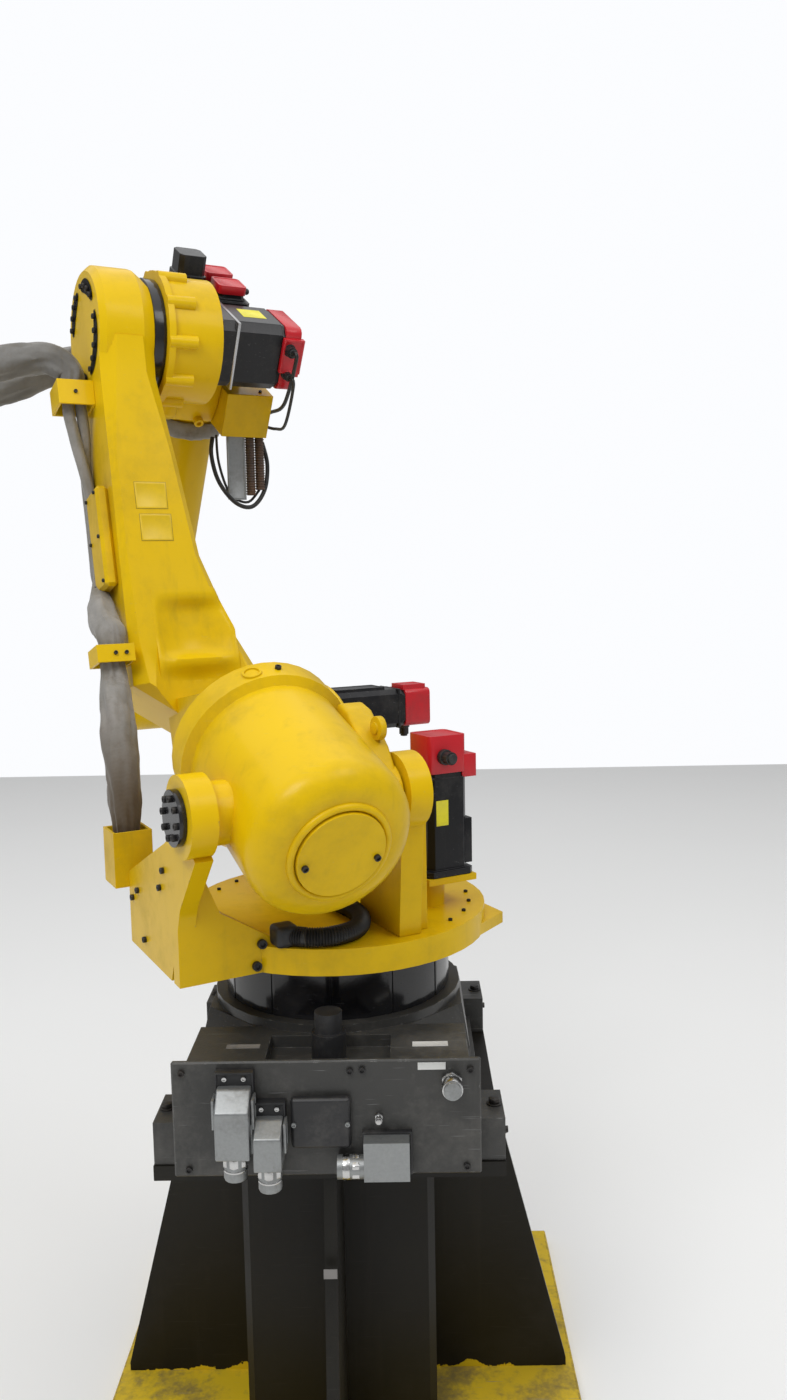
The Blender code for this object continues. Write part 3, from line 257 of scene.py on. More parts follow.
def paintMaterial(name, look):
    material, nodes, links, shader, coords = startMaterial(name)
    drift = noiseNode(nodes, links, coords, look["driftScale"], 4.0)
    colour = mixColour(nodes, links, rampNode(nodes, links, drift, 0.3, 0.7), look["colour"], look["shade"])
    grime = place(nodes, links, "grime", coords, {"Scale": look["grimeScale"], "Amount": look["grime"]})
    colour = mixColour(nodes, links, grime["Mask"], colour, look["dirt"])
    colour = mixColour(nodes, links, mathNode(nodes, links, "MULTIPLY", grime["Streaks"], 0.6), colour,
                       look["dirt"])
    scratch = place(nodes, links, "scratches", coords, {"Amount": look["scratches"]})["Mask"]
    colour = mixColour(nodes, links, scratch, colour, look["scratchColour"])
    wear = place(nodes, links, "edgeWear", coords,
                 {"Width": look["edgeWidth"], "Amount": look["edge"]})["Mask"]
    colour = mixColour(nodes, links, wear, colour, look["bare"])
    if "lap" in look:
        height = nodes.new("ShaderNodeSeparateXYZ")
        links.new(coords, height.inputs[0])
        ragged = mathNode(nodes, links, "MULTIPLY",
                          noiseNode(nodes, links, coords, look["lapScale"], 5.0, 0.65), look["lapRagged"])
        level = mathNode(nodes, links, "ADD",
                         mathNode(nodes, links, "SUBTRACT", height.outputs["Z"], ragged),
                         look["lapRagged"] / 2)
        colour = mixColour(nodes, links,
                           rampNode(nodes, links, level, look["lapHigh"], look["lapHigh"] + 0.002),
                           look["lap"], colour)
    links.new(colour, shader.inputs["Base Color"])
    gloss = mathNode(nodes, links, "ADD", look["rough"],
                     mathNode(nodes, links, "MULTIPLY", grime["Mask"], 0.35))
    gloss = mathNode(nodes, links, "ADD", gloss, mathNode(nodes, links, "MULTIPLY", wear, 0.2), True)
    links.new(gloss, shader.inputs["Roughness"])
    shader.inputs["Coat Roughness"].default_value = look["coatRough"]
    shader.inputs["Coat Weight"].default_value = look["coat"]
    shader.inputs["Specular IOR Level"].default_value = look["specular"]
    peel = noiseNode(nodes, links, coords, look["peelScale"], 3.0)
    normal = bumpFrom(nodes, links, peel, look["peel"], 0.001)
    chips = mathNode(nodes, links, "SUBTRACT", 1.0, mathNode(nodes, links, "MAXIMUM", wear, scratch))
    links.new(bumpFrom(nodes, links, chips, 0.5, 0.0006, normal), shader.inputs["Normal"])
    return material


robotYellow = {
    "colour": (0.75, 0.49, 0.002), "shade": (0.68, 0.43, 0.002), "driftScale": 1.6, "specular": 0.15,
    "grimeScale": 3.2, "grime": 0.30, "dirt": (0.30, 0.20, 0.02),
    "scratches": 0.35, "scratchColour": (0.62, 0.44, 0.05),
    "edgeWidth": 0.004, "edge": 0.45, "bare": (0.30, 0.22, 0.08),
    "rough": 0.32, "coat": 0.08, "coatRough": 0.12, "peelScale": 260.0, "peel": 0.12,
}
baseGrey = {
    "colour": (0.034, 0.034, 0.032), "shade": (0.046, 0.045, 0.042), "driftScale": 3.0, "specular": 0.4,
    "grimeScale": 5.0, "grime": 0.5, "dirt": (0.12, 0.115, 0.105),
    "scratches": 0.4, "scratchColour": (0.20, 0.20, 0.20),
    "edgeWidth": 0.003, "edge": 0.6, "bare": (0.22, 0.22, 0.21),
    "rough": 0.36, "coat": 0.0, "coatRough": 0.3, "peelScale": 150.0, "peel": 0.35,
}
riserBlack = {
    "colour": (0.0075, 0.0065, 0.0050), "shade": (0.010, 0.0088, 0.0055), "driftScale": 2.4,
              "specular": 0.25,
    "grimeScale": 4.0, "grime": 0.3, "dirt": (0.026, 0.022, 0.015),
    "scratches": 0.12, "scratchColour": (0.05, 0.045, 0.04),
    "edgeWidth": 0.003, "edge": 0.4, "bare": (0.06, 0.05, 0.04),
    "rough": 0.44, "coat": 0.0, "coatRough": 0.3, "peelScale": 90.0, "peel": 0.2,
    "lap": (0.66, 0.46, 0.012), "lapHigh": 0.032, "lapRagged": 0.075, "lapScale": 11.0,
}
floorYellow = {
    "colour": (0.72, 0.50, 0.015), "shade": (0.60, 0.41, 0.02), "driftScale": 3.5, "specular": 0.3,
    "grimeScale": 6.0, "grime": 0.75, "dirt": (0.10, 0.085, 0.06),
    "scratches": 0.8, "scratchColour": (0.28, 0.24, 0.16),
    "edgeWidth": 0.006, "edge": 0.9, "bare": (0.05, 0.045, 0.04),
    "rough": 0.5, "coat": 0.0, "coatRough": 0.3, "peelScale": 60.0, "peel": 0.4,
}
motorBlack = {
    "colour": (0.006, 0.006, 0.007), "shade": (0.010, 0.010, 0.012), "driftScale": 5.0, "specular": 0.25,
    "grimeScale": 7.0, "grime": 0.25, "dirt": (0.08, 0.075, 0.07),
    "scratches": 0.3, "scratchColour": (0.11, 0.11, 0.11),
    "edgeWidth": 0.002, "edge": 0.5, "bare": (0.25, 0.25, 0.25),
    "rough": 0.28, "coat": 0.1, "coatRough": 0.2, "peelScale": 220.0, "peel": 0.18,
}
reducerBlack = {
    "colour": (0.006, 0.006, 0.007), "shade": (0.010, 0.010, 0.012), "driftScale": 6.0, "specular": 0.4,
    "grimeScale": 6.0, "grime": 0.2, "dirt": (0.05, 0.045, 0.04),
    "scratches": 0.25, "scratchColour": (0.09, 0.09, 0.09),
    "edgeWidth": 0.002, "edge": 0.4, "bare": (0.16, 0.16, 0.16),
    "rough": 0.16, "coat": 0.25, "coatRough": 0.08, "peelScale": 120.0, "peel": 0.1,
}

materials = {
    "robotYellow": paintMaterial("robotYellow", robotYellow),
    "baseGrey": paintMaterial("baseGrey", baseGrey),
    "riserBlack": paintMaterial("riserBlack", riserBlack),
    "floorYellow": paintMaterial("floorYellow", floorYellow),
    "motorBlack": paintMaterial("motorBlack", motorBlack),
    "reducerBlack": paintMaterial("reducerBlack", reducerBlack),
}


def steelMaterial(name, look):
    material, nodes, links, shader, coords = startMaterial(name)
    mapping = nodes.new("ShaderNodeMapping")
    mapping.inputs["Scale"].default_value = look["grain"]
    links.new(coords, mapping.inputs["Vector"])
    grain = noiseNode(nodes, links, mapping.outputs[0], 60.0, 4.0, 0.6)
    colour = mixColour(nodes, links, grain, look["colour"], look["shade"])
    grime = place(nodes, links, "grime", coords, {"Scale": 9.0, "Amount": look["grime"]})
    links.new(mixColour(nodes, links, grime["Mask"], colour, look["dirt"]), shader.inputs["Base Color"])
    shader.inputs["Metallic"].default_value = look["metal"]
    links.new(mathNode(nodes, links, "ADD", look["rough"],
                       mathNode(nodes, links, "MULTIPLY", grime["Mask"], 0.3), True),
              shader.inputs["Roughness"])
    links.new(bumpFrom(nodes, links, grain, look["bump"], 0.0005), shader.inputs["Normal"])
    return material


machinedSteel = {"colour": (0.50, 0.50, 0.50), "shade": (0.40, 0.40, 0.41), "grain": (1, 1, 12),
                 "metal": 1.0,
                 "rough": 0.28, "bump": 0.08, "grime": 0.3, "dirt": (0.12, 0.10, 0.08)}
connectorZinc = {"colour": (0.33, 0.34, 0.34), "shade": (0.25, 0.26, 0.26), "grain": (3, 3, 3),
                 "metal": 0.75,
                 "rough": 0.42, "bump": 0.25, "grime": 0.45, "dirt": (0.11, 0.10, 0.09)}
boltSteel = {"colour": (0.045, 0.043, 0.042), "shade": (0.025, 0.025, 0.026), "grain": (4, 4, 4),
             "metal": 0.6,
             "rough": 0.38, "bump": 0.2, "grime": 0.4, "dirt": (0.09, 0.07, 0.05)}
materials["machinedSteel"] = steelMaterial("machinedSteel", machinedSteel)
materials["connectorZinc"] = steelMaterial("connectorZinc", connectorZinc)
materials["boltSteel"] = steelMaterial("boltSteel", boltSteel)


def plasticMaterial(name, look):
    material, nodes, links, shader, coords = startMaterial(name)
    speckle = noiseNode(nodes, links, coords, 320.0, 3.0)
    grime = place(nodes, links, "grime", coords, {"Scale": 8.0, "Amount": look["grime"]})
    colour = mixColour(nodes, links, grime["Mask"], look["colour"], look["dirt"])
    wear = place(nodes, links, "edgeWear", coords, {"Width": 0.0015, "Amount": 0.4})["Mask"]
    links.new(mixColour(nodes, links, wear, colour, look["worn"]), shader.inputs["Base Color"])
    links.new(mathNode(nodes, links, "ADD", look["rough"],
                       mathNode(nodes, links, "MULTIPLY", grime["Mask"], 0.3), True),
              shader.inputs["Roughness"])
    links.new(bumpFrom(nodes, links, speckle, look["bump"], 0.0006), shader.inputs["Normal"])
    return material


coverBlack = {"colour": (0.014, 0.014, 0.015), "worn": (0.08, 0.08, 0.08), "dirt": (0.09, 0.085, 0.08),
              "grime": 0.45, "rough": 0.45, "bump": 0.25}
capRed = {"colour": (0.52, 0.010, 0.018), "worn": (0.60, 0.12, 0.10), "dirt": (0.10, 0.03, 0.03),
          "grime": 0.25, "rough": 0.30, "bump": 0.10}
hoseRubber = {"colour": (0.012, 0.012, 0.012), "worn": (0.06, 0.06, 0.06), "dirt": (0.06, 0.055, 0.05),
              "grime": 0.35, "rough": 0.42, "bump": 0.15}
materials["coverBlack"] = plasticMaterial("coverBlack", coverBlack)
materials["capRed"] = plasticMaterial("capRed", capRed)
materials["hoseRubber"] = plasticMaterial("hoseRubber", hoseRubber)

def weaveGroup():
    # Thread pattern from two crossed sets of fine bands
    group, nodes, links, entry, out = startGroup(
        "weave",
        [("Vector", "NodeSocketVector", None), ("Pitch", "NodeSocketFloat", 900.0)],
        [("Height", "NodeSocketFloat")])
    heights = []
    for turn in ((0.6, 0.3, 0.8), (-0.7, 0.9, -0.4)):
        mapping = nodes.new("ShaderNodeMapping")
        mapping.inputs["Rotation"].default_value = turn
        links.new(entry.outputs["Vector"], mapping.inputs["Vector"])
        split = nodes.new("ShaderNodeSeparateXYZ")
        links.new(mapping.outputs[0], split.inputs[0])
        wave = mathNode(nodes, links, "SINE",
                        mathNode(nodes, links, "MULTIPLY", split.outputs["X"], entry.outputs["Pitch"]))
        heights.append(wave)
    links.new(mathNode(nodes, links, "MULTIPLY", heights[0], heights[1]), out.inputs["Height"])
    return group


groups["weave"] = weaveGroup()


def fabricMaterial(name, look):
    material, nodes, links, shader, coords = startMaterial(name)
    tone = noiseNode(nodes, links, coords, 14.0, 5.0, 0.6)
    colour = mixColour(nodes, links, rampNode(nodes, links, tone, 0.3, 0.7), look["colour"], look["shade"])
    stain = place(nodes, links, "grime", coords, {"Scale": look["stainScale"], "Amount": look["stain"]})
    colour = mixColour(nodes, links, stain["Mask"], colour, look["dirt"])
    colour = mixColour(nodes, links, mathNode(nodes, links, "MULTIPLY", stain["Streaks"], 0.5), colour,
                       look["dirt"])
    if "soak" in look:
        height = nodes.new("ShaderNodeSeparateXYZ")
        links.new(coords, height.inputs[0])
        level = mathNode(nodes, links, "ADD", height.outputs["Z"],
                         mathNode(nodes, links, "MULTIPLY", tone, 0.16))
        dry = rampNode(nodes, links, level, look["soakLow"] + 0.08, look["soakHigh"] + 0.08)
        colour = mixColour(nodes, links, dry, look["soak"], colour)
    threads = place(nodes, links, "weave", coords, {"Pitch": look["pitch"]})["Height"]
    shadeThread = mathNode(nodes, links, "MULTIPLY", rampNode(nodes, links, threads, -0.6, 0.8), 0.03)
    links.new(mixColour(nodes, links, shadeThread, colour, look["thread"]), shader.inputs["Base Color"])
    links.new(mathNode(nodes, links, "ADD", look["rough"],
                       mathNode(nodes, links, "MULTIPLY", stain["Mask"], 0.12), True),
              shader.inputs["Roughness"])
    shader.inputs["Sheen Weight"].default_value = 0.25
    crumple = noiseNode(nodes, links, coords, 55.0, 4.0, 0.6)
    normal = bumpFrom(nodes, links, crumple, 0.35, 0.003)
    links.new(bumpFrom(nodes, links, threads, 0.02, 0.0003, normal), shader.inputs["Normal"])
    return material


sleeveFabric = {"colour": (0.27, 0.255, 0.235), "shade": (0.19, 0.18, 0.16), "dirt": (0.10, 0.08, 0.05),
                "thread": (0.35, 0.335, 0.31),
                "stainScale": 8.0, "stain": 0.7, "pitch": 2400.0, "rough": 0.62}
sleeveDark = dict(sleeveFabric, colour=(0.17, 0.165, 0.155), shade=(0.12, 0.115, 0.105),
                  thread=(0.22, 0.215, 0.205))
materials["sleeveFabric"] = fabricMaterial("sleeveFabric", sleeveFabric)
materials["sleeveStained"] = fabricMaterial("sleeveStained",
                                            dict(sleeveFabric, soak=(0.075, 0.050, 0.025), soakLow=1.36,
                                                 soakHigh=1.66))
materials["sleeveDark"] = fabricMaterial("sleeveDark", sleeveDark)
# The near-black slot colour below is painted shade: it stands for the shadow inside the head's arc slots
# and the casing slit, which are laid on as thin sheets, not cut.
materials["slotPaintedShade"] = plasticMaterial("slotPaintedShade",
                                        {"colour": (0.010, 0.009, 0.008), "worn": (0.05, 0.04, 0.02),
                                                     "dirt": (0.06, 0.05, 0.03), "grime": 0.5, "rough": 0.5,
                                         "bump": 0.3})
materials["labelYellow"] = plasticMaterial("labelYellow",
                                           {"colour": (0.78, 0.70, 0.02), "worn": (0.5, 0.45, 0.1),
                                                           "dirt": (0.2, 0.17, 0.04), "grime": 0.3,
                                            "rough": 0.35, "bump": 0.05})
materials["labelEdge"] = plasticMaterial("labelEdge",
                                         {"colour": (0.30, 0.20, 0.004), "worn": (0.4, 0.3, 0.02),
                                                       "dirt": (0.2, 0.14, 0.01), "grime": 0.3,
                                          "rough": 0.4, "bump": 0.05})
materials["labelBare"] = plasticMaterial("labelBare",
                                         {"colour": (0.70, 0.47, 0.002), "worn": (0.6, 0.4, 0.01),
                                                       "dirt": (0.4, 0.28, 0.01), "grime": 0.3,
                                          "rough": 0.35, "bump": 0.05})
materials["rustyHose"] = plasticMaterial("rustyHose",
                                         {"colour": (0.075, 0.050, 0.038), "worn": (0.16, 0.12, 0.09),
                                                       "dirt": (0.13, 0.065, 0.030), "grime": 0.8,
                                          "rough": 0.5, "bump": 0.3})
materials["plateWhite"] = plasticMaterial("plateWhite",
                                          {"colour": (0.62, 0.62, 0.60), "worn": (0.4, 0.4, 0.38),
                                                         "dirt": (0.25, 0.24, 0.22), "grime": 0.35,
                                           "rough": 0.4, "bump": 0.05})
materials["plateDull"] = plasticMaterial("plateDull",
                                         {"colour": (0.20, 0.19, 0.18), "worn": (0.12, 0.12, 0.11),
                                                       "dirt": (0.08, 0.075, 0.07), "grime": 0.6,
                                          "rough": 0.5, "bump": 0.1})
materials["glandSteel"] = steelMaterial("glandSteel",
                                        {"colour": (0.60, 0.60, 0.59), "shade": (0.50, 0.50, 0.50),
                                         "grain": (2, 2, 9),
                                                       "metal": 1.0, "rough": 0.22, "bump": 0.08,
                                         "grime": 0.35,
                                                       "dirt": (0.14, 0.12, 0.10)})

nodeLooks = {
    "robotYellow": ["turret_disc", "j2_tower", "balancer_yoke_left", "balancer_yoke_right", "cable_bracket",
                    "balancer_cylinder", "balancer_end_cover", "lower_arm", "arm_side_cover",
                    "lower_hose_clamp",
                    "upper_hose_bracket", "arm_casing", "cable_box", "loop_bracket", "forearm",
                    "wrist_body"],
    "baseGrey": ["base_casting", "connector_panel"],
    "riserBlack": ["riser_column", "riser_top_plate", "riser_gusset_left", "riser_gusset_right",
                   "riser_gusset_front", "riser_gusset_rear"],
    "floorYellow": ["riser_foot_plate"],
    "motorBlack": ["j1_motor", "j2_motor", "j3_motor", "j4_motor", "j5_motor", "j6_motor"],
    "reducerBlack": ["slewing_ring", "j2_reducer", "j3_reducer", "trunnion_cap_left", "trunnion_cap_right"],
    "coverBlack": ["panel_cover", "stop_post"],
    "connectorZinc": ["power_connector", "signal_connector", "side_connector", "round_connector"],
    "machinedSteel": ["balancer_rod", "balancer_pin", "tool_flange"],
    "hoseRubber": ["turret_hose"],
}
for look, members in nodeLooks.items():
    for member in members:
        item = frame["nodes"][member]
        item.data.materials.clear()
        item.data.materials.append(materials[look])
print("materials on the frame")


# Camera, floor and light

view = {
    "place": (0.1572, -2.4507, 1.8886),
    "yaw": math.radians(0.5054),
    "pitch": math.radians(6.6535),
    "roll": math.radians(-1.0516),
    "lens": 28.94,
}
forward = Vector((-math.sin(view["yaw"]) * math.cos(view["pitch"]),
                  math.cos(view["yaw"]) * math.cos(view["pitch"]),
                  -math.sin(view["pitch"])))
level = Vector((math.cos(view["yaw"]), math.sin(view["yaw"]), 0))
down = forward.cross(level)
right = level * math.cos(view["roll"]) - down * math.sin(view["roll"])
lower = level * math.sin(view["roll"]) + down * math.cos(view["roll"])
turn = Matrix((right, -lower, -forward)).transposed().to_4x4()
cameraData = bpy.data.cameras.new("photoCamera")
cameraData.lens = view["lens"]
cameraData.sensor_width = 36
cameraData.clip_end = 60
camera = bpy.data.objects.new("photoCamera", cameraData)
camera.matrix_world = Matrix.Translation(view["place"]) @ turn
bpy.context.scene.collection.objects.link(camera)
bpy.context.scene.camera = camera

studio = {
    "floorSize": 16.0,
    "floorColour": (0.90, 0.90, 0.89),
    "worldColour": (0.97, 0.98, 1.0),
    "worldLight": 0.36,
    "lamps": [
        {"place": (0, 0, 8.0), "aim": (0, 0, 0), "size": 15.0, "power": 640},
        {"place": (-1.6, -3.4, 5.0), "aim": (0, 0, 1.6), "size": 2.0, "power": 95},
        {"place": (2.6, -1.6, 4.6), "aim": (0, 0, 1.4), "size": 1.6, "power": 25},
    ],
}
bpy.ops.object.select_all(action="DESELECT")
bpy.ops.mesh.primitive_plane_add(size=studio["floorSize"], location=(0, 0, -0.0005))
floor = bpy.context.active_object
floor.name = "studioFloor"
floorMaterial, nodes, links, shader, coords = startMaterial("studioFloor")
cloud = noiseNode(nodes, links, coords, 0.6, 3.0)
links.new(mixColour(nodes, links, cloud, studio["floorColour"],
                    tuple(c * 0.97 for c in studio["floorColour"])),
          shader.inputs["Base Color"])
shader.inputs["Roughness"].default_value = 0.7
floor.data.materials.append(floorMaterial)

world = bpy.data.worlds.new("studioWorld")
world.use_nodes = True
background = world.node_tree.nodes["Background"]
background.inputs["Color"].default_value = (*studio["worldColour"], 1.0)
worldNodes = world.node_tree.nodes
worldLinks = world.node_tree.links
rays = worldNodes.new("ShaderNodeLightPath")
strength = worldNodes.new("ShaderNodeMapRange")
worldLinks.new(rays.outputs["Is Camera Ray"], strength.inputs["Value"])
strength.inputs["To Min"].default_value = studio["worldLight"]
strength.inputs["To Max"].default_value = 1.0
worldLinks.new(strength.outputs["Result"], background.inputs["Strength"])
bpy.context.scene.world = world

for number, lamp in enumerate(studio["lamps"]):
    data = bpy.data.lights.new("softLamp%d" % number, "AREA")
    data.shape = "SQUARE"
    data.size = lamp["size"]
    data.energy = lamp["power"]
    item = bpy.data.objects.new(data.name, data)
    item.location = lamp["place"]
    item.rotation_euler = (Vector(lamp["aim"]) - Vector(lamp["place"])).to_track_quat("-Z", "Y").to_euler()
    bpy.context.scene.collection.objects.link(item)
bpy.context.scene.view_settings.view_transform = "Standard"
print("camera and light")

# Modelling helpers

def freshMesh(kind, **settings):
    bpy.ops.object.select_all(action="DESELECT")
    getattr(bpy.ops.mesh, kind)(**settings)
    item = bpy.context.active_object
    item.data.transform(item.matrix_world)
    item.matrix_world = Matrix.Identity(4)
    return item


def pickFaces(item, test):
    bpy.ops.object.select_all(action="DESELECT")
    item.select_set(True)
    bpy.context.view_layer.objects.active = item
    bpy.ops.object.mode_set(mode="EDIT")
    bpy.ops.mesh.select_mode(type="FACE")
    bpy.ops.mesh.select_all(action="DESELECT")
    shape = bmesh.from_edit_mesh(item.data)
    for face in shape.faces:
        face.select_set(test(face))
    bmesh.update_edit_mesh(item.data)


def insetPanel(item, direction, inset, depth):
    towards = Vector(direction)
    furthest = max(point.co.dot(towards) for point in item.data.vertices)
    pickFaces(item, lambda face: face.normal.dot(towards) > 0.9 and
              face.calc_center_median().dot(towards) > furthest - 0.001)
    bpy.ops.mesh.inset(thickness=inset)
    bpy.ops.mesh.extrude_region_move(TRANSFORM_OT_translate={"value": towards * depth})
    bpy.ops.object.mode_set(mode="OBJECT")


def softenEdges(item, width, segments=2, angle=35.0):
    step = item.modifiers.new("edges", "BEVEL")
    step.width = width
    step.segments = segments
    step.limit_method = "ANGLE"
    step.angle_limit = math.radians(angle)
    bpy.context.view_layer.objects.active = item
    bpy.ops.object.modifier_apply(modifier=step.name)


def smoothShade(item, angle=35.0):
    bpy.ops.object.select_all(action="DESELECT")
    item.select_set(True)
    bpy.context.view_layer.objects.active = item
    bpy.ops.object.shade_smooth_by_angle(angle=math.radians(angle))


def block(low, high):
    size = Vector(high) - Vector(low)
    item = freshMesh("primitive_cube_add", size=1)
    item.data.transform(Matrix.Translation((Vector(high) + Vector(low)) / 2) @ Matrix.Diagonal((*size, 1)))
    return item


def tube(radius, low, high, steps=32):
    item = freshMesh("primitive_cylinder_add", vertices=steps, radius=radius, depth=high - low)
    item.data.transform(Matrix.Translation((0, 0, (low + high) / 2)))
    return item


def joined(items):
    bpy.ops.object.select_all(action="DESELECT")
    for item in items:
        item.select_set(True)
    bpy.context.view_layer.objects.active = items[0]
    if len(items) > 1:
        bpy.ops.object.join()
    return bpy.context.active_object


def finish(item, name, body, look, matrix=None):
    if matrix is not None:
        item.data.transform(matrix)
    item.name = name
    item.data.name = name
    item.data.materials.clear()
    item.data.materials.append(materials[look])
    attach(item, body)
    return item


def copies(master, name, body, look, matrices):
    for number, matrix in enumerate(matrices):
        item = bpy.data.objects.new("%s_%02d" % (name, number + 1), master.data.copy())
        bpy.context.scene.collection.objects.link(item)
        finish(item, item.name, body, look, matrix)


def aim(direction):
    return Vector(direction).to_track_quat("Z", "Y").to_matrix().to_4x4()


def on(base, place, direction=(0, 0, 1)):
    return base @ Matrix.Translation(place) @ aim(direction)


def smoothRoute(points, spacing):
    spots = [Vector(point) for point in points]
    fine = []
    for a, b, c, d in zip(spots, spots[1:], spots[2:], spots[3:]):
        for step in range(24):
            t = step / 24
            fine.append(0.5 * (2 * b + (c - a) * t + (2 * a - 5 * b + 4 * c - d) * t * t
                               + (3 * b - a - 3 * c + d) * t * t * t))
    fine = [spots[0]] + fine + [spots[-2], spots[-1]]
    lengths = [0.0]
    for first, second in zip(fine, fine[1:]):
        lengths.append(lengths[-1] + (second - first).length)
    count = max(4, round(lengths[-1] / spacing))
    route, index = [], 0
    for number in range(count + 1):
        goal = lengths[-1] * number / count
        while index < len(fine) - 2 and lengths[index + 1] < goal:
            index += 1
        gap = lengths[index + 1] - lengths[index]
        route.append(fine[index].lerp(fine[index + 1], (goal - lengths[index]) / gap if gap > 1e-9 else 0))
    return route


def routeFrames(route):
    frames = []
    tangent = (route[1] - route[0]).normalized()
    side = tangent.orthogonal().normalized()
    for index, spot in enumerate(route):
        ahead = route[min(index + 1, len(route) - 1)] - route[max(index - 1, 0)]
        fresh = ahead.normalized()
        side = (tangent.rotation_difference(fresh) @ side).normalized()
        side = (side - fresh * side.dot(fresh)).normalized()
        tangent = fresh
        frames.append((spot, side, fresh.cross(side)))
    return frames


def sweep(name, route, radiusAt, sides):
    shape = bmesh.new()
    frames = routeFrames(route)
    rings = []
    for index, (spot, side, up) in enumerate(frames):
        share = index / (len(frames) - 1)
        ring = []
        for number in range(sides):
            angle = 2 * math.pi * number / sides
            radius = radiusAt(share, angle, index)
            ring.append(shape.verts.new(spot + side * (radius * math.cos(angle))
                                        + up * (radius * math.sin(angle))))
        rings.append(ring)
    for first, second in zip(rings, rings[1:]):
        for number in range(sides):
            after = (number + 1) % sides
            shape.faces.new((first[number], first[after], second[after], second[number]))
    shape.faces.new(list(reversed(rings[0])))
    shape.faces.new(rings[-1])
    bmesh.ops.recalc_face_normals(shape, faces=shape.faces)
    mesh = bpy.data.meshes.new(name)
    shape.to_mesh(mesh)
    shape.free()
    item = bpy.data.objects.new(name, mesh)
    bpy.context.scene.collection.objects.link(item)
    smoothShade(item, 50)
    return item


# Castings: the same shapes with rounded edges and smooth round faces

bodyOf = {node: body for body,
          members in frame["record"]["behaviour"]["bodies"].items() for node in members}
castings = {
    "robotYellow": {"balancer_cylinder": 0.0030, "balancer_end_cover": 0.0020, "balancer_yoke_left": 0.0025,
                    "balancer_yoke_right": 0.0025, "lower_arm": 0.0035, "arm_casing": 0.0025,
                    "j2_tower": 0.0035,
                    "turret_disc": 0.0030, "cable_box": 0.0020, "cable_bracket": 0.0008, "forearm": 0.0025,
                    "wrist_body": 0.0025, "lower_hose_clamp": 0.0008, "upper_hose_bracket": 0.0008,
                    "loop_bracket": 0.0008},
    "baseGrey": {"base_casting": 0.0035},
    "reducerBlack": {"slewing_ring": 0.0015, "j2_reducer": 0.0020, "j3_reducer": 0.0020,
                     "trunnion_cap_left": 0.0015,
                     "trunnion_cap_right": 0.0015},
    "coverBlack": {"stop_post": 0.0025, "panel_cover": 0.0020},
    "motorBlack": {"j1_motor": 0.0015, "j2_motor": 0.0015, "j3_motor": 0.0015, "j4_motor": 0.0015,
                   "j5_motor": 0.0015,
                   "j6_motor": 0.0015},
    "connectorZinc": {"power_connector": 0.0040, "signal_connector": 0.0035, "side_connector": 0.0035,
                      "round_connector": 0.0008},
    "machinedSteel": {"balancer_rod": 0.0010, "balancer_pin": 0.0010, "tool_flange": 0.0010},
}


def refine(node, look, width):
    item = bpy.data.objects.new(node + "_refined", frame["nodes"][node].data.copy())
    bpy.context.scene.collection.objects.link(item)
    pickFaces(item, lambda face: True)
    bpy.ops.mesh.remove_doubles(threshold=0.00002)
    bpy.ops.mesh.dissolve_limited(angle_limit=math.radians(0.4))
    bpy.ops.object.mode_set(mode="OBJECT")
    step = item.modifiers.new("edges", "BEVEL")
    step.width = width
    step.segments = 2
    step.limit_method = "ANGLE"
    step.angle_limit = math.radians(28)
    step.use_clamp_overlap = True
    bpy.ops.object.modifier_apply(modifier=step.name)
    smoothShade(item, 30)
    step = item.modifiers.new("normals", "WEIGHTED_NORMAL")
    step.keep_sharp = True
    bpy.ops.object.modifier_apply(modifier=step.name)
    finish(item, item.name, bodyOf[node], look)
    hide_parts(node)


for look, members in castings.items():
    for node, width in members.items():
        refine(node, look, width)
print("castings refined")


# Fasteners

def capScrew(radius, height):
    item = tube(radius, 0, height, 20)
    insetPanel(item, (0, 0, 1), radius * 0.42, -height * 0.55)
    softenEdges(item, radius * 0.10)
    smoothShade(item)
    return item


def hexBolt(radius, height):
    head = tube(radius, height * 0.25, height, 6)
    softenEdges(head, radius * 0.14)
    washer = tube(radius * 1.25, 0, height * 0.25, 24)
    softenEdges(washer, radius * 0.06)
    item = joined([head, washer])
    smoothShade(item)
    return item


masters = {
    "cap4": capScrew(0.0045, 0.005),
    "cap6": capScrew(0.0065, 0.007),
    "cap8": capScrew(0.0095, 0.010),
    "hex8": hexBolt(0.0085, 0.009),
    "hex12": hexBolt(0.0120, 0.012),
}
for item in masters.values():
    item.hide_render = True


def circle(count, radius, start=0.0):
    return [(radius * math.cos(2 * math.pi * number / count + start),
             radius * math.sin(2 * math.pi * number / count + start)) for number in range(count)]


trunnionBolts = {"side": 0.245 + 0.0003 + 0.014, "ring": 0.038, "count": 8}
for name, side in (("trunnionBoltLeft", -1), ("trunnionBoltRight", 1)):
    x = pose["balancer"][0] + side * trunnionBolts["side"]
    spots = [on(turretFrame, (x, pose["balancer"][1] + a, pose["balancer"][2] + b), (side, 0, 0))
             for a, b in circle(trunnionBolts["count"], trunnionBolts["ring"], 0.2)]
    copies(masters["cap6"], name, "turret", "boltSteel", spots)

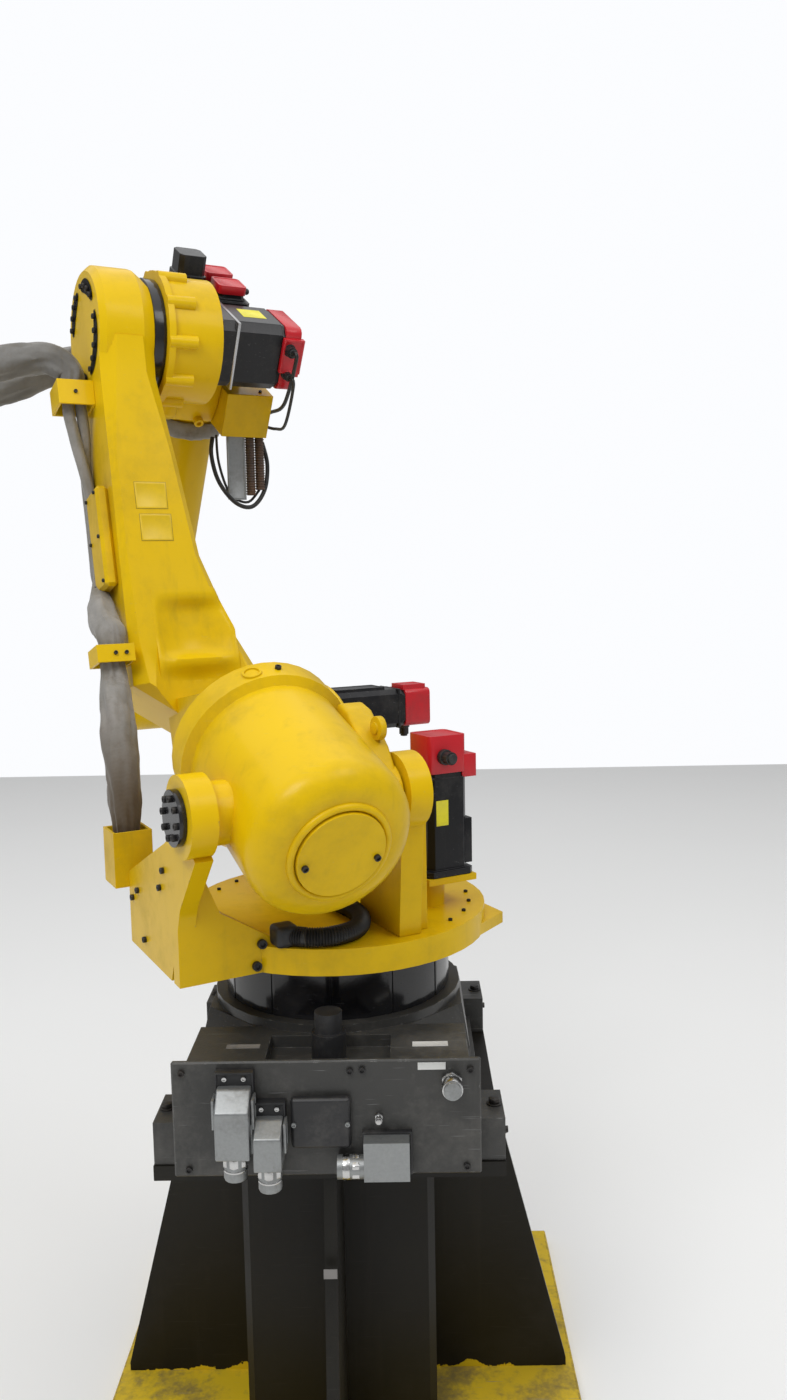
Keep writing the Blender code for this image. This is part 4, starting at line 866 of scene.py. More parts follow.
endCover = {"front": -0.170 - 0.0003 - 0.012, "rim": 0.096, "rimWidth": 0.0075}
copies(masters["cap6"], "endCoverBolt", "balancer", "boltSteel",
       [on(balancerFrame, (x, endCover["front"], z), (0, -1, 0)) for x,
        z in ((-0.072, -0.014), (0.072, -0.014))])
rim = freshMesh("primitive_torus_add", major_radius=endCover["rim"], minor_radius=endCover["rimWidth"],
                major_segments=64, minor_segments=12)
rim.data.transform(Matrix.Diagonal((1, 1, 1.15, 1)))
smoothShade(rim, 60)
finish(rim, "endCoverRim", "balancer", "robotYellow",
       on(balancerFrame, (0, -0.170, 0), (0, -1, 0)))

headFace = {"x": -0.356, "slotR": 0.108, "slotW": 0.036, "boltRing": 0.108, "deep": 0.0015}
length = pose["armLength"]
slotSpans = [(20, 82), (98, 160), (176, 262), (278, 340)]
# Each arc slot is a thin near-black sheet on the head face: painted shade where the recess's shadow would
# be.
for number, (first, last) in enumerate(slotSpans):
    steps = 14
    shape = bmesh.new()
    rows = []
    for step in range(steps + 1):
        angle = math.radians(first + (last - first) * step / steps)
        ends = math.sin(math.pi * step / steps) ** 0.35 if 0 < step < steps else 0.25
        half = headFace["slotW"] / 2 * ends
        rows.append([shape.verts.new((headFace["x"] - headFace["deep"], r * math.cos(angle),
                                      length + r * math.sin(angle)))
                     for r in (headFace["slotR"] - half, headFace["slotR"], headFace["slotR"] + half)])
    for low, high in zip(rows, rows[1:]):
        for a, b in ((0, 1), (1, 2)):
            shape.faces.new((low[a], high[a], high[b], low[b]))
    bmesh.ops.solidify(shape, geom=shape.faces[:], thickness=headFace["deep"])
    bmesh.ops.recalc_face_normals(shape, faces=shape.faces)
    mesh = bpy.data.meshes.new("headSlot")
    shape.to_mesh(mesh)
    shape.free()
    item = bpy.data.objects.new("headSlot", mesh)
    bpy.context.scene.collection.objects.link(item)
    finish(item, "headSlot_%d" % (number + 1), "lower_arm", "slotPaintedShade", armFrame)
headBolts = []
for first, last in slotSpans:
    count = max(2, round((last - first) / 16))
    for step in range(count):
        angle = math.radians(first + (last - first) * (step + 0.5) / count)
        headBolts.append(on(armFrame,
                            (headFace["x"] - headFace["deep"], headFace["boltRing"] * math.cos(angle),
                                       length + headFace["boltRing"] * math.sin(angle)), (-1, 0, 0)))
copies(masters["cap6"], "headBolt", "lower_arm", "boltSteel", headBolts)

sideCover = {"x": -0.356 - 0.0003 - 0.030, "y": 0.038, "heights": (0.455, 0.560, 0.665)}
copies(masters["cap4"], "sideCoverBolt", "lower_arm", "boltSteel",
       [on(armFrame, (sideCover["x"], side * sideCover["y"], z), (-1, 0, 0))
        for side in (-1, 1) for z in sideCover["heights"]])
armFace = [(0.060, -0.110, -0.025), (0.200, -0.100, -0.045), (0.300, -0.090, -0.095),
           (0.500, -0.092, -0.165)]
channel = {"x": -0.200, "y": -0.262, "radius": 0.197, "low": 0.195, "high": 0.4202, "half": 0.0965,
           "corner": 0.020,
           "fadeTop": 0.255, "dish": 0.0235, "dishHalf": 0.090, "back": 0.006}


def smoothStep(value, low, high):
    share = min(1.0, max(0.0, (value - low) / (high - low)))
    return share * share * (3 - 2 * share)


def armFaceAt(z):
    for (low, rear, side), (high, nextRear, nextSide) in zip(armFace, armFace[1:]):
        if z <= high:
            share = (z - low) / (high - low)
            return rear + (nextRear - rear) * share, side + (nextSide - side) * share
    return armFace[-1][1], armFace[-1][2]


shape = bmesh.new()
outer, inner = [], []
for step in range(25):
    z = channel["low"] + (channel["high"] - channel["low"]) * step / 24
    rear, side = armFaceAt(z)
    first = channel["x"] - channel["half"]
    last = min(channel["x"] + channel["half"], side - channel["corner"] * 0.08)
    shown = smoothStep(z, channel["low"] + 0.010, channel["fadeTop"])
    dished = smoothStep(z, 0.245, 0.275) * (1 - smoothStep(z, 0.368, 0.405)) * channel["dish"]
    front, back = [], []
    for column in range(41):
        x = first + (last - first) * column / 40
        away = x - channel["x"]
        deep = channel["y"] + math.sqrt(channel["radius"] ** 2 - away * away)
        past = max(0.0, x - (side - channel["corner"]))
        face = rear + channel["corner"] - math.sqrt(max(0.0, channel["corner"] ** 2 - past * past))
        face += dished * max(0.0, 1 - (away / channel["dishHalf"]) ** 2)
        y = min(deep + 0.0006, deep + (face - deep) * shown - 0.0003)
        front.append(shape.verts.new((x, y, z)))
        back.append(shape.verts.new((x, deep + channel["back"], z)))
    outer.append(front)
    inner.append(back)
for grid in (outer, inner):
    for first, second in zip(grid, grid[1:]):
        for column in range(40):
            shape.faces.new((first[column], first[column + 1], second[column + 1], second[column]))
for front, back in ((outer[0], inner[0]), (outer[-1], inner[-1])):
    for column in range(40):
        shape.faces.new((front[column], front[column + 1], back[column + 1], back[column]))
for column in (0, 40):
    for first, second, third, fourth in zip(outer, outer[1:], inner[1:], inner):
        shape.faces.new((first[column], second[column], third[column], fourth[column]))
bmesh.ops.recalc_face_normals(shape, faces=shape.faces)
mesh = bpy.data.meshes.new("armBlend")
shape.to_mesh(mesh)
shape.free()
item = bpy.data.objects.new("armBlend", mesh)
bpy.context.scene.collection.objects.link(item)
smoothShade(item, 40)
finish(item, "armBlend", "lower_arm", "robotYellow", armFrame)
hoseClampBolts = [((-0.356 - 0.0886 / 2, -0.075 - 0.0423, 0.270), (0, -1, 0)),
                  ((-0.356 - 0.0886 / 2, 0.015 - 0.0423, 0.915), (0, -1, 0)),
                  ((-0.356 - 0.0200, -0.075 - 0.0423, 0.270), (0, -1, 0))]
copies(masters["cap4"], "ringBolt", "lower_arm", "boltSteel",
       [on(armFrame, place, direction) for place, direction in hoseClampBolts])
cableBox = {"x": 0.030, "y": 0.130, "z": 0.0997}
copies(masters["cap4"], "cableBoxBolt", "upper_arm", "boltSteel",
       [on(elbowFrame, (cableBox["x"] + 0.030, cableBox["y"], cableBox["z"] - 0.030), (0, -1, 0)),
        on(elbowFrame, (cableBox["x"] + 0.100, cableBox["y"], cableBox["z"] - 0.070), (0, -1, 0))])
copies(masters["cap8"], "yokeBolt", "turret", "boltSteel",
       [on(turretFrame, (x, -0.2003, z), (0, -1, 0)) for x, z in ((-0.262, 0.405), (-0.274, 0.362))])
copies(masters["cap6"], "wallBolt", "turret", "boltSteel",
       [on(turretFrame, (-0.4303, y, z), (-1, 0, 0))
        for y, z in ((-0.125, 0.560), (-0.100, 0.520), (0.060, 0.475), (0.100, 0.450), (0.020, 0.380))])
panelFace = -0.4463
copies(masters["cap6"], "panelBolt", "base", "boltSteel",
       [on(baseFrame, (x, -0.446, z), (0, -1, 0))
        for x, z in ((-0.270, 0.206), (0.270, 0.206), (0.045, 0.206), (0.068, 0.208), (-0.262, 0.016),
                     (0.262, 0.016))])
copies(masters["cap4"], "coverScrew", "base", "connectorZinc",
       [on(baseFrame, (x, panelFace - 0.020, 0.112), (0, -1, 0)) for x in (-0.060, 0.040)])
copies(masters["cap6"], "sideBolt", "base", "boltSteel",
       [on(baseFrame, (0.339, y, z), (1, 0, 0)) for y,
        z in ((-0.375, 0.050), (-0.340, 0.030), (0.250, 0.050))])
copies(masters["hex12"], "footBolt", "base", "boltSteel",
       [on(baseFrame, (x, y, 0.085)) for x in (-0.322, 0.322) for y in (-0.340, 0.265)])
copies(masters["cap4"], "slewBolt", "turret", "boltSteel",
       [on(turretFrame, (0.295 * math.cos(a), 0.295 * math.sin(a), 0.400)) for a in
        [math.radians(angle) for angle in (-62, -48, -34, -20, 20, 34, 48, 62, 76, 90, 104, 118, 132)]])
print("fasteners")

# Motors: red end caps, labels left bare, connectors

motors = {
    "j1": {"body": "turret", "frame": turretFrame, "foot": (0.190, -0.130, 0.4703),
           "turn": Matrix.Identity(4),
           "half": 0.048, "length": 0.305, "cap": 0.090},
    "j2": {"body": "turret", "frame": turretFrame, "foot": (0.1353, 0.350, 0.777), "half": 0.050,
           "length": 0.290,
           "cap": 0.080, "turn": aim((1, 0, 0))},
    "j3": {"body": "upper_arm", "frame": elbowFrame, "foot": (-0.0577, 0, 0), "half": 0.084,
           "length": 0.225,
           "cap": 0.050, "turn": aim((1, 0, 0))},
    "j4": {"body": "upper_arm", "frame": elbowFrame, "foot": (-0.055, -0.0603, 0.190), "half": 0.040,
           "length": 0.110,
           "cap": 0.050, "turn": aim((0, -1, 0))},
    "j5": {"body": "upper_arm", "frame": elbowFrame, "foot": (0.050, -0.0603, 0.165), "half": 0.040,
           "length": 0.050,
           "cap": 0.030, "turn": aim((0, -1, 0))},
    "j6": {"body": "upper_arm", "frame": elbowFrame, "foot": (0.050, -0.0603, 0.272), "half": 0.040,
           "length": 0.050,
           "cap": 0.030, "turn": aim((0, -1, 0))},
}
capLook = {"proud": 0.0022, "foot": 0.010, "panelIn": 0.16, "panelDeep": 0.0014}


def motorPlace(motor):
    return motor["frame"] @ Matrix.Translation(motor["foot"]) @ motor["turn"]


def redCap(name, motor):
    half = motor["half"] - 0.004 + capLook["proud"]
    low = motor["length"] - motor["cap"] + capLook["foot"]
    item = block((-half, -half, low), (half, half, motor["length"] + capLook["proud"]))
    pickFaces(item, lambda face: abs(face.normal.z) < 0.5)
    shape = bmesh.from_edit_mesh(item.data)
    for edge in shape.edges:
        edge.select_set(abs((edge.verts[0].co - edge.verts[1].co).z) > 0.001)
    bmesh.update_edit_mesh(item.data)
    bpy.ops.mesh.select_mode(type="EDGE")
    bpy.ops.mesh.bevel(offset=motor["half"] * 0.24, segments=3, affect="EDGES")
    bpy.ops.object.mode_set(mode="OBJECT")
    insetPanel(item, (0, 0, 1), half * capLook["panelIn"], -capLook["panelDeep"])
    softenEdges(item, 0.0016, 2, 30)
    smoothShade(item)
    finish(item, name, motor["body"], "capRed", motorPlace(motor))


for name in ("j1", "j2", "j3", "j5", "j6"):
    redCap(name + "RedCap", motors[name])


def plug(name, motor, place, direction, radius, length):
    parts = [tube(radius, 0, length * 0.35, 24), tube(radius * 0.82, length * 0.3, length * 0.85, 24),
             tube(radius * 0.62, length * 0.8, length, 24)]
    grooves = parts[1]
    pickFaces(grooves,
              lambda face: abs(face.normal.z) < 0.5 and round(face.calc_center_median().x * 1e5) % 2 == 0)
    bpy.ops.mesh.inset(thickness=radius * 0.05, use_individual=True)
    bpy.ops.mesh.extrude_region_shrink_fatten(TRANSFORM_OT_shrink_fatten={"value": -radius * 0.05})
    bpy.ops.object.mode_set(mode="OBJECT")
    for part in (parts[0], parts[2]):
        softenEdges(part, radius * 0.10)
    item = joined(parts)
    smoothShade(item)
    finish(item, name, motor["body"], "coverBlack",
           motorPlace(motor) @ Matrix.Translation(place) @ aim(direction))


half1 = motors["j1"]["half"]
plug("j1PowerPlug", motors["j1"], (-0.012, -half1 + 0.002, 0.262), (0, -1, 0), 0.017, 0.040)
plug("j2PowerPlug", motors["j2"], (0.010, -0.046, 0.245), (0, -1, 0), 0.015, 0.036)
plug("j3PowerPlug", motors["j3"], (-0.030, -0.080, 0.196), (0, -1, 0), 0.017, 0.038)
plug("j3SignalPlug", motors["j3"], (0.035, -0.080, 0.200), (0, -1, 0), 0.013, 0.032)
plug("j5Plug", motors["j5"], (0.0, 0.034, 0.034), (0, 1, 0), 0.013, 0.028)
plug("j6Plug", motors["j6"], (0.0, 0.034, 0.034), (0, 1, 0), 0.013, 0.028)


def plate(name, body, look, width, height, thick, matrix, corner=0.002):
    item = block((-width / 2, -height / 2, 0), (width / 2, height / 2, thick))
    insetPanel(item, (0, 0, 1), min(width, height) * 0.06, -thick * 0.25)
    softenEdges(item, thick * 0.3, 2)
    smoothShade(item)
    finish(item, name, body, look, matrix)


def faceFrame(base, place, normal, up):
    z = Vector(normal).normalized()
    x = Vector(up).cross(z).normalized()
    y = z.cross(x)
    return base @ Matrix.Translation(place) @ Matrix((x, y, z)).transposed().to_4x4()


plates = [
    ("j3Label", "upper_arm", "motor_black", "labelYellow", 0.062, 0.060, 0.0008,
     faceFrame(elbowFrame, (0.060, -0.0838, 0.004), (0, -1, 0), (0, 0, 1))),
    ("j1Label", "turret", "motor_black", "labelYellow", 0.030, 0.055, 0.0008,
     faceFrame(turretFrame, (0.172, -0.1778, 0.610), (0, -1, 0), (0, 0, 1))),
    ("panelPlate", "base", "base_grey", "plateWhite", 0.052, 0.014, 0.0008,
     faceFrame(baseFrame, (0.198, -0.446, 0.213), (0, -1, 0), (0, 0, 1))),
    ("boxPlate", "base", "base_grey", "plateWhite", 0.070, 0.022, 0.0008,
     faceFrame(baseFrame, (0.198, -0.330, 0.205), (0, 0, 1), (0, 1, 0))),
    ("boxPlateDull", "base", "base_grey", "plateDull", 0.066, 0.018, 0.0008,
     faceFrame(baseFrame, (-0.170, -0.330, 0.205), (0, 0, 1), (0, 1, 0))),
    ("riserTag", "base", "riser_black", "plateDull", 0.026, 0.018, 0.0010,
     faceFrame(Matrix.Identity(4), (0.0, -0.4545, 0.560), (0, -1, 0.15), (0, 0, 1))),
]
for number, (x, z) in enumerate(((-0.2718, 0.6397), (-0.2665, 0.5642))):
    rear = -0.092 - 0.052 * (z - 0.500)
    spot = faceFrame(armFrame, (x, rear - 0.0002, z), (0, -1, -0.052), (0, 0, 1))
    plates += [("armLabelEdge_%d" % (number + 1), "lower_arm", "robot_yellow", "labelEdge", 0.0760, 0.0640,
                0.0004, spot),
               ("armLabel_%d" % (number + 1), "lower_arm", "robot_yellow", "labelBare", 0.0736, 0.0616,
                0.0007, spot)]
for name, body, slot, look, width, height, thick, matrix in plates:
    plate(name, body, look, width, height, thick, matrix)
print("motors and plates")


# More of the motors: bands, second blocks of the caps, leads

def band(name, motor, low, high, proud, look):
    half = motor["half"] + proud
    item = block((-half, -half, low), (half, half, high))
    softenEdges(item, min(0.0015, (high - low) * 0.3))
    smoothShade(item)
    finish(item, name, motor["body"], look, motorPlace(motor))


def softBlock(name, body, look, low, high, width, matrix, inset=None):
    item = block(low, high)
    if inset is not None:
        insetPanel(item, inset, 0.006, -0.0012)
    softenEdges(item, width, 3)
    smoothShade(item)
    return finish(item, name, body, look, matrix)


band("j3Band", motors["j3"], 0.052, 0.060, 0.0012, "machinedSteel")
band("j3Flange", motors["j3"], 0.0, 0.014, 0.004, "motorBlack")
band("j2Band", motors["j2"], 0.196, 0.202, 0.0010, "motorBlack")
softBlock("j3RedStep", "upper_arm", "capRed", (0.120, -0.058, -0.094),
          (0.176, 0.030, -0.078), 0.004, elbowFrame,
          (0, 0, -1))
softBlock("j3RedEnd", "upper_arm", "capRed", (0.166, -0.040, -0.070), (0.184, 0.046, 0.012),
          0.004, elbowFrame,
          (1, 0, 0))
softBlock("j1RedStep", "turret", "capRed", (0.036, -0.044, 0.212), (0.072, 0.030, 0.262),
          0.004,
          motorPlace(motors["j1"]), (1, 0, 0))
softBlock("j1BlackStep", "turret", "motorBlack", (0.036, -0.040, 0.020),
          (0.062, 0.034, 0.120), 0.004,
          motorPlace(motors["j1"]), (1, 0, 0))
softBlock("j2Panel", "turret", "motorBlack", (0.162, 0.314, 0.826), (0.300, 0.386, 0.834),
          0.003, turretFrame,
          (0, 0, 1))
softBlock("j2RedStep", "turret", "capRed", (0.352, 0.310, 0.822), (0.418, 0.372, 0.836),
          0.004, turretFrame,
          (0, 0, 1))

# Elbow details

def casting(name, body, outline, low, high, axis, width, look, matrix):
    # outline runs round the piece in the two directions across the axis
    order = {"X": (0, 1, 2), "Z": (2, 0, 1)}[axis]
    shape = bmesh.new()
    sides = []
    for level in (low, high):
        ring = []
        for first, second in outline:
            spot = [0, 0, 0]
            spot[order[0]], spot[order[1]], spot[order[2]] = level, first, second
            ring.append(shape.verts.new(spot))
        sides.append(ring)
    shape.faces.new(sides[0])
    shape.faces.new(list(reversed(sides[1])))
    for number in range(len(outline)):
        after = (number + 1) % len(outline)
        shape.faces.new((sides[0][number], sides[0][after], sides[1][after], sides[1][number]))
    bmesh.ops.recalc_face_normals(shape, faces=shape.faces)
    mesh = bpy.data.meshes.new(name)
    shape.to_mesh(mesh)
    shape.free()
    item = bpy.data.objects.new(name, mesh)
    bpy.context.scene.collection.objects.link(item)
    softenEdges(item, width, 3)
    smoothShade(item)
    return finish(item, name, body, look, matrix)


casting("casingShelf", "upper_arm",
        [(0.120, 0.045), (0.190, 0.060), (0.242, 0.085), (0.242, 0.118), (0.120, 0.118)],
        -0.090, 0.030, "X", 0.006, "robotYellow", elbowFrame)
casting("casingEndBlock", "upper_arm",
        [(0.118, 0.010), (0.212, 0.030), (0.232, 0.062), (0.232, 0.125), (0.118, 0.125)],
        -0.132, -0.092, "X", 0.008, "robotYellow", elbowFrame)
# The slit in the casing is a thin near-black piece: painted shade of the gap.
casting("casingWindow", "upper_arm",
        [(0.1560, 0.0165), (0.1800, 0.0216), (0.1800, 0.0236), (0.1560, 0.0185)],
        -0.124, -0.100, "X", 0.0006, "slotPaintedShade", elbowFrame)
for number, x in enumerate((-0.014, 0.058)):
    lug = tube(0.013, 0, 0.030, 32)
    insetPanel(lug, (0, 0, 1), 0.0065, -0.008)
    softenEdges(lug, 0.0014)
    smoothShade(lug)
    finish(lug, "casingLug_%d" % (number + 1), "upper_arm", "robotYellow",
           on(elbowFrame, (x, 0.232, 0.094), (0, 0.35, -1)))
hangFrame = elbowFrame @ Matrix.Translation((0, 0.2505, 0.030)) @ Matrix.Rotation(pose["forearmDip"], 4,
                                                                                  "X")
hosePlate = block((0.052, -0.004, -0.178), (0.104, 0.002, 0.006))
insetPanel(hosePlate, (0, -1, 0), 0.006, -0.0012)
softenEdges(hosePlate, 0.0012)
smoothShade(hosePlate)
finish(hosePlate, "hosePlate", "upper_arm", "connectorZinc", hangFrame)


def ribbedEnd(name, x, radius, low, high):
    rings = [tube(radius, low, high, 24)]
    pitch = 0.007
    for number in range(int((high - low) / pitch)):
        z = low + pitch * (number + 0.5)
        ring = freshMesh("primitive_torus_add", major_radius=radius, minor_radius=0.0024, major_segments=24,
                         minor_segments=8)
        ring.data.transform(Matrix.Translation((0, 0, z)))
        rings.append(ring)
    item = joined(rings)
    smoothShade(item)
    finish(item, name, "upper_arm", "rustyHose",
           hangFrame @ Matrix.Translation((x, 0.002, 0)))


ribbedEnd("hoseEnd_1", 0.1200, 0.0115, -0.165, 0.004)
ribbedEnd("hoseEnd_2", 0.1475, 0.0115, -0.150, 0.004)


def lead(name, points, radius, body, look, matrix=None):
    route = smoothRoute([points[0]] + points + [points[-1]], 0.008)
    item = sweep(name, route, lambda share, angle, index: radius, 14)
    return finish(item, name, body, look, matrix)


plugEnd = motorPlace(motors["j3"]) @ Vector((-0.030, -0.116, 0.196))
otherEnd = motorPlace(motors["j3"]) @ Vector((0.035, -0.110, 0.200))
boxSide = elbowFrame @ Vector((0.159, 0.200, 0.055))
boxEnd = elbowFrame @ Vector((0.159, 0.225, 0.030))
sag = Vector((0.020, -0.020, -0.050))
lead("j3Lead_1", [plugEnd, plugEnd + Vector((0.010, -0.018, -0.016)), (plugEnd + boxSide) / 2 + sag,
                  boxSide + Vector((0.024, 0, 0.004)), boxSide],
     0.0050, "upper_arm", "hoseRubber")
lead("j3Lead_2", [otherEnd, otherEnd + Vector((0.012, -0.014, -0.020)), (otherEnd + boxEnd) / 2 + sag * 1.2,
                  boxEnd + Vector((0.030, 0, -0.008)), boxEnd],
     0.0042, "upper_arm", "hoseRubber")
lead("hangingLoop", [(0.020, 0.020, -0.010), (0.012, 0.012, -0.060), (0.028, 0.004, -0.130),
                     (0.070, -0.006, -0.186), (0.120, -0.004, -0.196),
                     (0.160, 0.002, -0.150), (0.172, 0.006, -0.080), (0.160, 0.010, -0.020)],
     0.0058, "upper_arm", "hoseRubber", hangFrame)
lead("hangingLead", [(0.030, 0.018, -0.004), (0.032, 0.010, -0.080), (0.060, 0.008, -0.160),
                     (0.110, 0.008, -0.184), (0.146, 0.006, -0.150)],
     0.0036, "upper_arm", "hoseRubber", hangFrame)


def crumpled(name, inner, outer, low, high, body, look, matrix, seed):
    # a loose band of cloth round an axis along Y
    shape = bmesh.new()
    steps, rows = 72, 14
    middle = (inner + outer) / 2
    half = (outer - inner) / 2
    rings = []
    for step in range(steps):
        angle = 2 * math.pi * step / steps
        ring = []
        for row in range(rows):
            turn = 2 * math.pi * row / rows
            fold = noise.noise(Vector((math.cos(angle) * 5, math.sin(angle) * 5, math.sin(turn) + seed)))
            rounded = math.cos(turn) * (0.85 + 0.30 * max(0, fold))
            outward = 0.25 * half * fold if math.cos(turn) > 0 else 0
            radius = middle + half * rounded + outward
            along = (low + high) / 2 + (high - low) / 2 * math.sin(turn) * (0.85 + 0.15 * fold)
            ring.append(shape.verts.new((radius * math.cos(angle), along, radius * math.sin(angle))))
        rings.append(ring)
    for step in range(steps):
        first, second = rings[step], rings[(step + 1) % steps]
        for row in range(rows):
            after = (row + 1) % rows
            shape.faces.new((first[row], first[after], second[after], second[row]))
    bmesh.ops.recalc_face_normals(shape, faces=shape.faces)
    mesh = bpy.data.meshes.new(name)
    shape.to_mesh(mesh)
    shape.free()
    item = bpy.data.objects.new(name, mesh)
    bpy.context.scene.collection.objects.link(item)
    smoothShade(item, 60)
    return finish(item, name, body, look, matrix)


crumpled("neckWrap", 0.0915, 0.1120, 0.262, 0.318, "upper_arm", "sleeveFabric", forearmFrame, 3.0)
plug("rearPlug", motors["j5"], (0.034, 0.0, 0.032), (1, 0, 0), 0.010, 0.024)
print("elbow details")

# Balancer details

casting("balancerRib", "balancer",
        [(0.165, 0.066), (0.165, 0.118), (0.120, 0.122), (0.030, 0.088), (-0.040, 0.040), (-0.050, 0.010),
         (0.060, 0.010)],
        0.130, 0.188, "X", 0.008, "robotYellow", balancerFrame)
eye = tube(0.024, -0.007, 0.007, 36)
insetPanel(eye, (0, 0, 1), 0.012, -0.004)
insetPanel(eye, (0, 0, -1), 0.012, 0.004)
softenEdges(eye, 0.0016)
smoothShade(eye)
finish(eye, "balancerEye", "balancer", "robotYellow",
       on(balancerFrame, (0.168, 0.050, 0.118), (1, 0, 0)))
collar = {"radius": 0.183, "y": 0.205, "bossX": -0.045, "bossSunk": 0.0035,
          "plugY": 0.206, "plugSunk": 0.0006, "plugTurns": (0.05, 2.2, -2.2)}
collarTop = math.sqrt(collar["radius"] ** 2 - collar["bossX"] ** 2)
boss = tube(0.020, 0.0, 0.0065, 32)
insetPanel(boss, (0, 0, 1), 0.005, -0.0045)
softenEdges(boss, 0.0014)
smoothShade(boss)
finish(boss, "collarBoss", "balancer", "robotYellow",
       on(balancerFrame, (collar["bossX"], collar["y"], collarTop - collar["bossSunk"]),
          (collar["bossX"], 0, collarTop)))
copies(masters["cap6"], "collarPlug", "balancer", "boltSteel",
       [on(balancerFrame, (collar["radius"] * math.sin(a), collar["plugY"],
                           collar["radius"] * math.cos(a) - collar["plugSunk"]),
           (math.sin(a), 0, math.cos(a))) for a in collar["plugTurns"]])
softBlock("hoseGland", "turret", "coverBlack", (-0.246, -0.246, 0.4002),
          (-0.198, -0.198, 0.4440), 0.010, turretFrame)
print("balancer details")

# Panel connectors

def hoodDress(name, x, z, width, height, depth, gland):
    top = z + height / 2
    frame = block((x - width / 2 - 0.004, panelFace - 0.022, z - height * 0.08),
                  (x + width / 2 + 0.004, panelFace, top + 0.026))
    insetPanel(frame, (0, -1, 0), 0.004, -0.003)
    softenEdges(frame, 0.002)
    smoothShade(frame)
    finish(frame, name + "Frame", "base", "coverBlack", baseFrame)
    copies(masters["cap4"], name + "Screw", "base", "glandSteel",
           [on(baseFrame, (x + side * width * 0.28, panelFace - 0.0192, top + 0.014),
               (0, -1, 0)) for side in (-1, 1)])
    for side in (-1, 1):
        lever = block((-0.0025, -0.030, -0.028), (0.0025, 0.004, 0.028))
        insetPanel(lever, (side, 0, 0), 0.004, -0.0012)
        softenEdges(lever, 0.0012)
        smoothShade(lever)
        finish(lever, name + ("LeverRight" if side > 0 else "LeverLeft"), "base",
               "connectorZinc",
               baseFrame @ Matrix.Translation((x + side * (width / 2 + 0.0045), panelFace - 0.020,
                                               z + height * 0.15)))
    bottom = z - height / 2
    nut = tube(gland * 1.12, bottom - 0.022, bottom - 0.004, 6)
    collar = tube(gland * 0.92, bottom - 0.046, bottom - 0.020, 28)
    ring = tube(gland * 1.04, bottom - 0.032, bottom - 0.027, 28)
    for part in (nut, collar, ring):
        softenEdges(part, 0.0016)
    item = joined([nut, collar, ring])
    smoothShade(item)
    finish(item, name + "Gland", "base", "glandSteel",
           baseFrame @ Matrix.Translation((x, panelFace - depth / 2, 0)))


hoodDress("powerHood", -0.1685, 0.128, 0.064, 0.122, 0.070, 0.022)
hoodDress("signalHood", -0.105, 0.087, 0.052, 0.085, 0.070, 0.022)
sideGland = {"x": 0.112 - 0.0425, "y": panelFace - 0.0225, "z": 0.048 - 0.01875}
nut = tube(0.0245, 0.008, 0.022, 6)
ring = tube(0.0235, 0.026, 0.040, 28)
for part in (nut, ring):
    softenEdges(part, 0.0016)
item = joined([nut, ring])
smoothShade(item)
finish(item, "sideGland", "base", "glandSteel",
       on(baseFrame, (sideGland["x"], sideGland["y"], sideGland["z"]), (-1, 0, 0)))
roundNut = tube(0.0215, 0.004, 0.016, 6)
roundRing = tube(0.0195, 0.022, 0.044, 28)
for part in (roundNut, roundRing):
    softenEdges(part, 0.0015)
item = joined([roundNut, roundRing])
smoothShade(item)
finish(item, "roundNut", "base", "glandSteel",
       on(baseFrame, (0.235, -0.446, 0.185), (0, -1, 0)))
fitting = [tube(0.008, 0, 0.010, 6), tube(0.0055, 0.008, 0.028, 20), tube(0.0068, 0.018, 0.023, 20)]
for part in fitting:
    softenEdges(part, 0.0008)
item = joined(fitting)
smoothShade(item)
finish(item, "airFitting", "base", "glandSteel",
       on(baseFrame, (0.098, panelFace, 0.118), (0, -1, 0)))
sideFrame = block((0.066, panelFace - 0.012, 0.006), (0.160, panelFace, 0.090))
insetPanel(sideFrame, (0, -1, 0), 0.005, -0.003)
softenEdges(sideFrame, 0.002)
smoothShade(sideFrame)
finish(sideFrame, "sideHoodFrame", "base", "coverBlack", baseFrame)
print("connectors")


# Dress pack

def wrinkle(share, angle, seed, length):
    along = share * length
    pleat = 0.55 * math.sin(3 * angle + 5 * along + seed) * math.sin(4 * along + 2 * seed)
    crease = 0.60 * abs(math.sin(2 * angle + 11 * along + 1.7 * seed)) ** 4
    spot = Vector((math.cos(angle) * 1.6, math.sin(angle) * 1.6, along * 8 + seed))
    drape = noise.noise(spot) * 1.1 + noise.noise(spot * 2.3) * 0.6 + noise.noise(spot * 5.1) * 0.25
    return pleat - crease + drape


def sleeve(name, look, points, seed, swell, gather, taper=0.0, spacing=0.0065):
    route = smoothRoute(points, spacing)
    length = sum((b - a).length for a, b in zip(route, route[1:]))

    def radius(share, angle, index):
        end = min(share, 1 - share) * length
        spread = min(1.0, end / gather)
        spread = spread * spread * (3 - 2 * spread)
        full = look["radius"] * (1 + swell * math.sin(math.pi * share))
        base = look["tied"] + (full - look["tied"]) * spread
        folds = wrinkle(share, angle, seed, length) * look["fold"] * (0.35 + 0.65 * spread)
        pleats = look["tiePleat"] * math.sin(9 * angle + seed) * (1 - spread)
        return (base + folds + pleats) * (1 - taper * share * share)

    return sweep(name, route, radius, look["sides"])


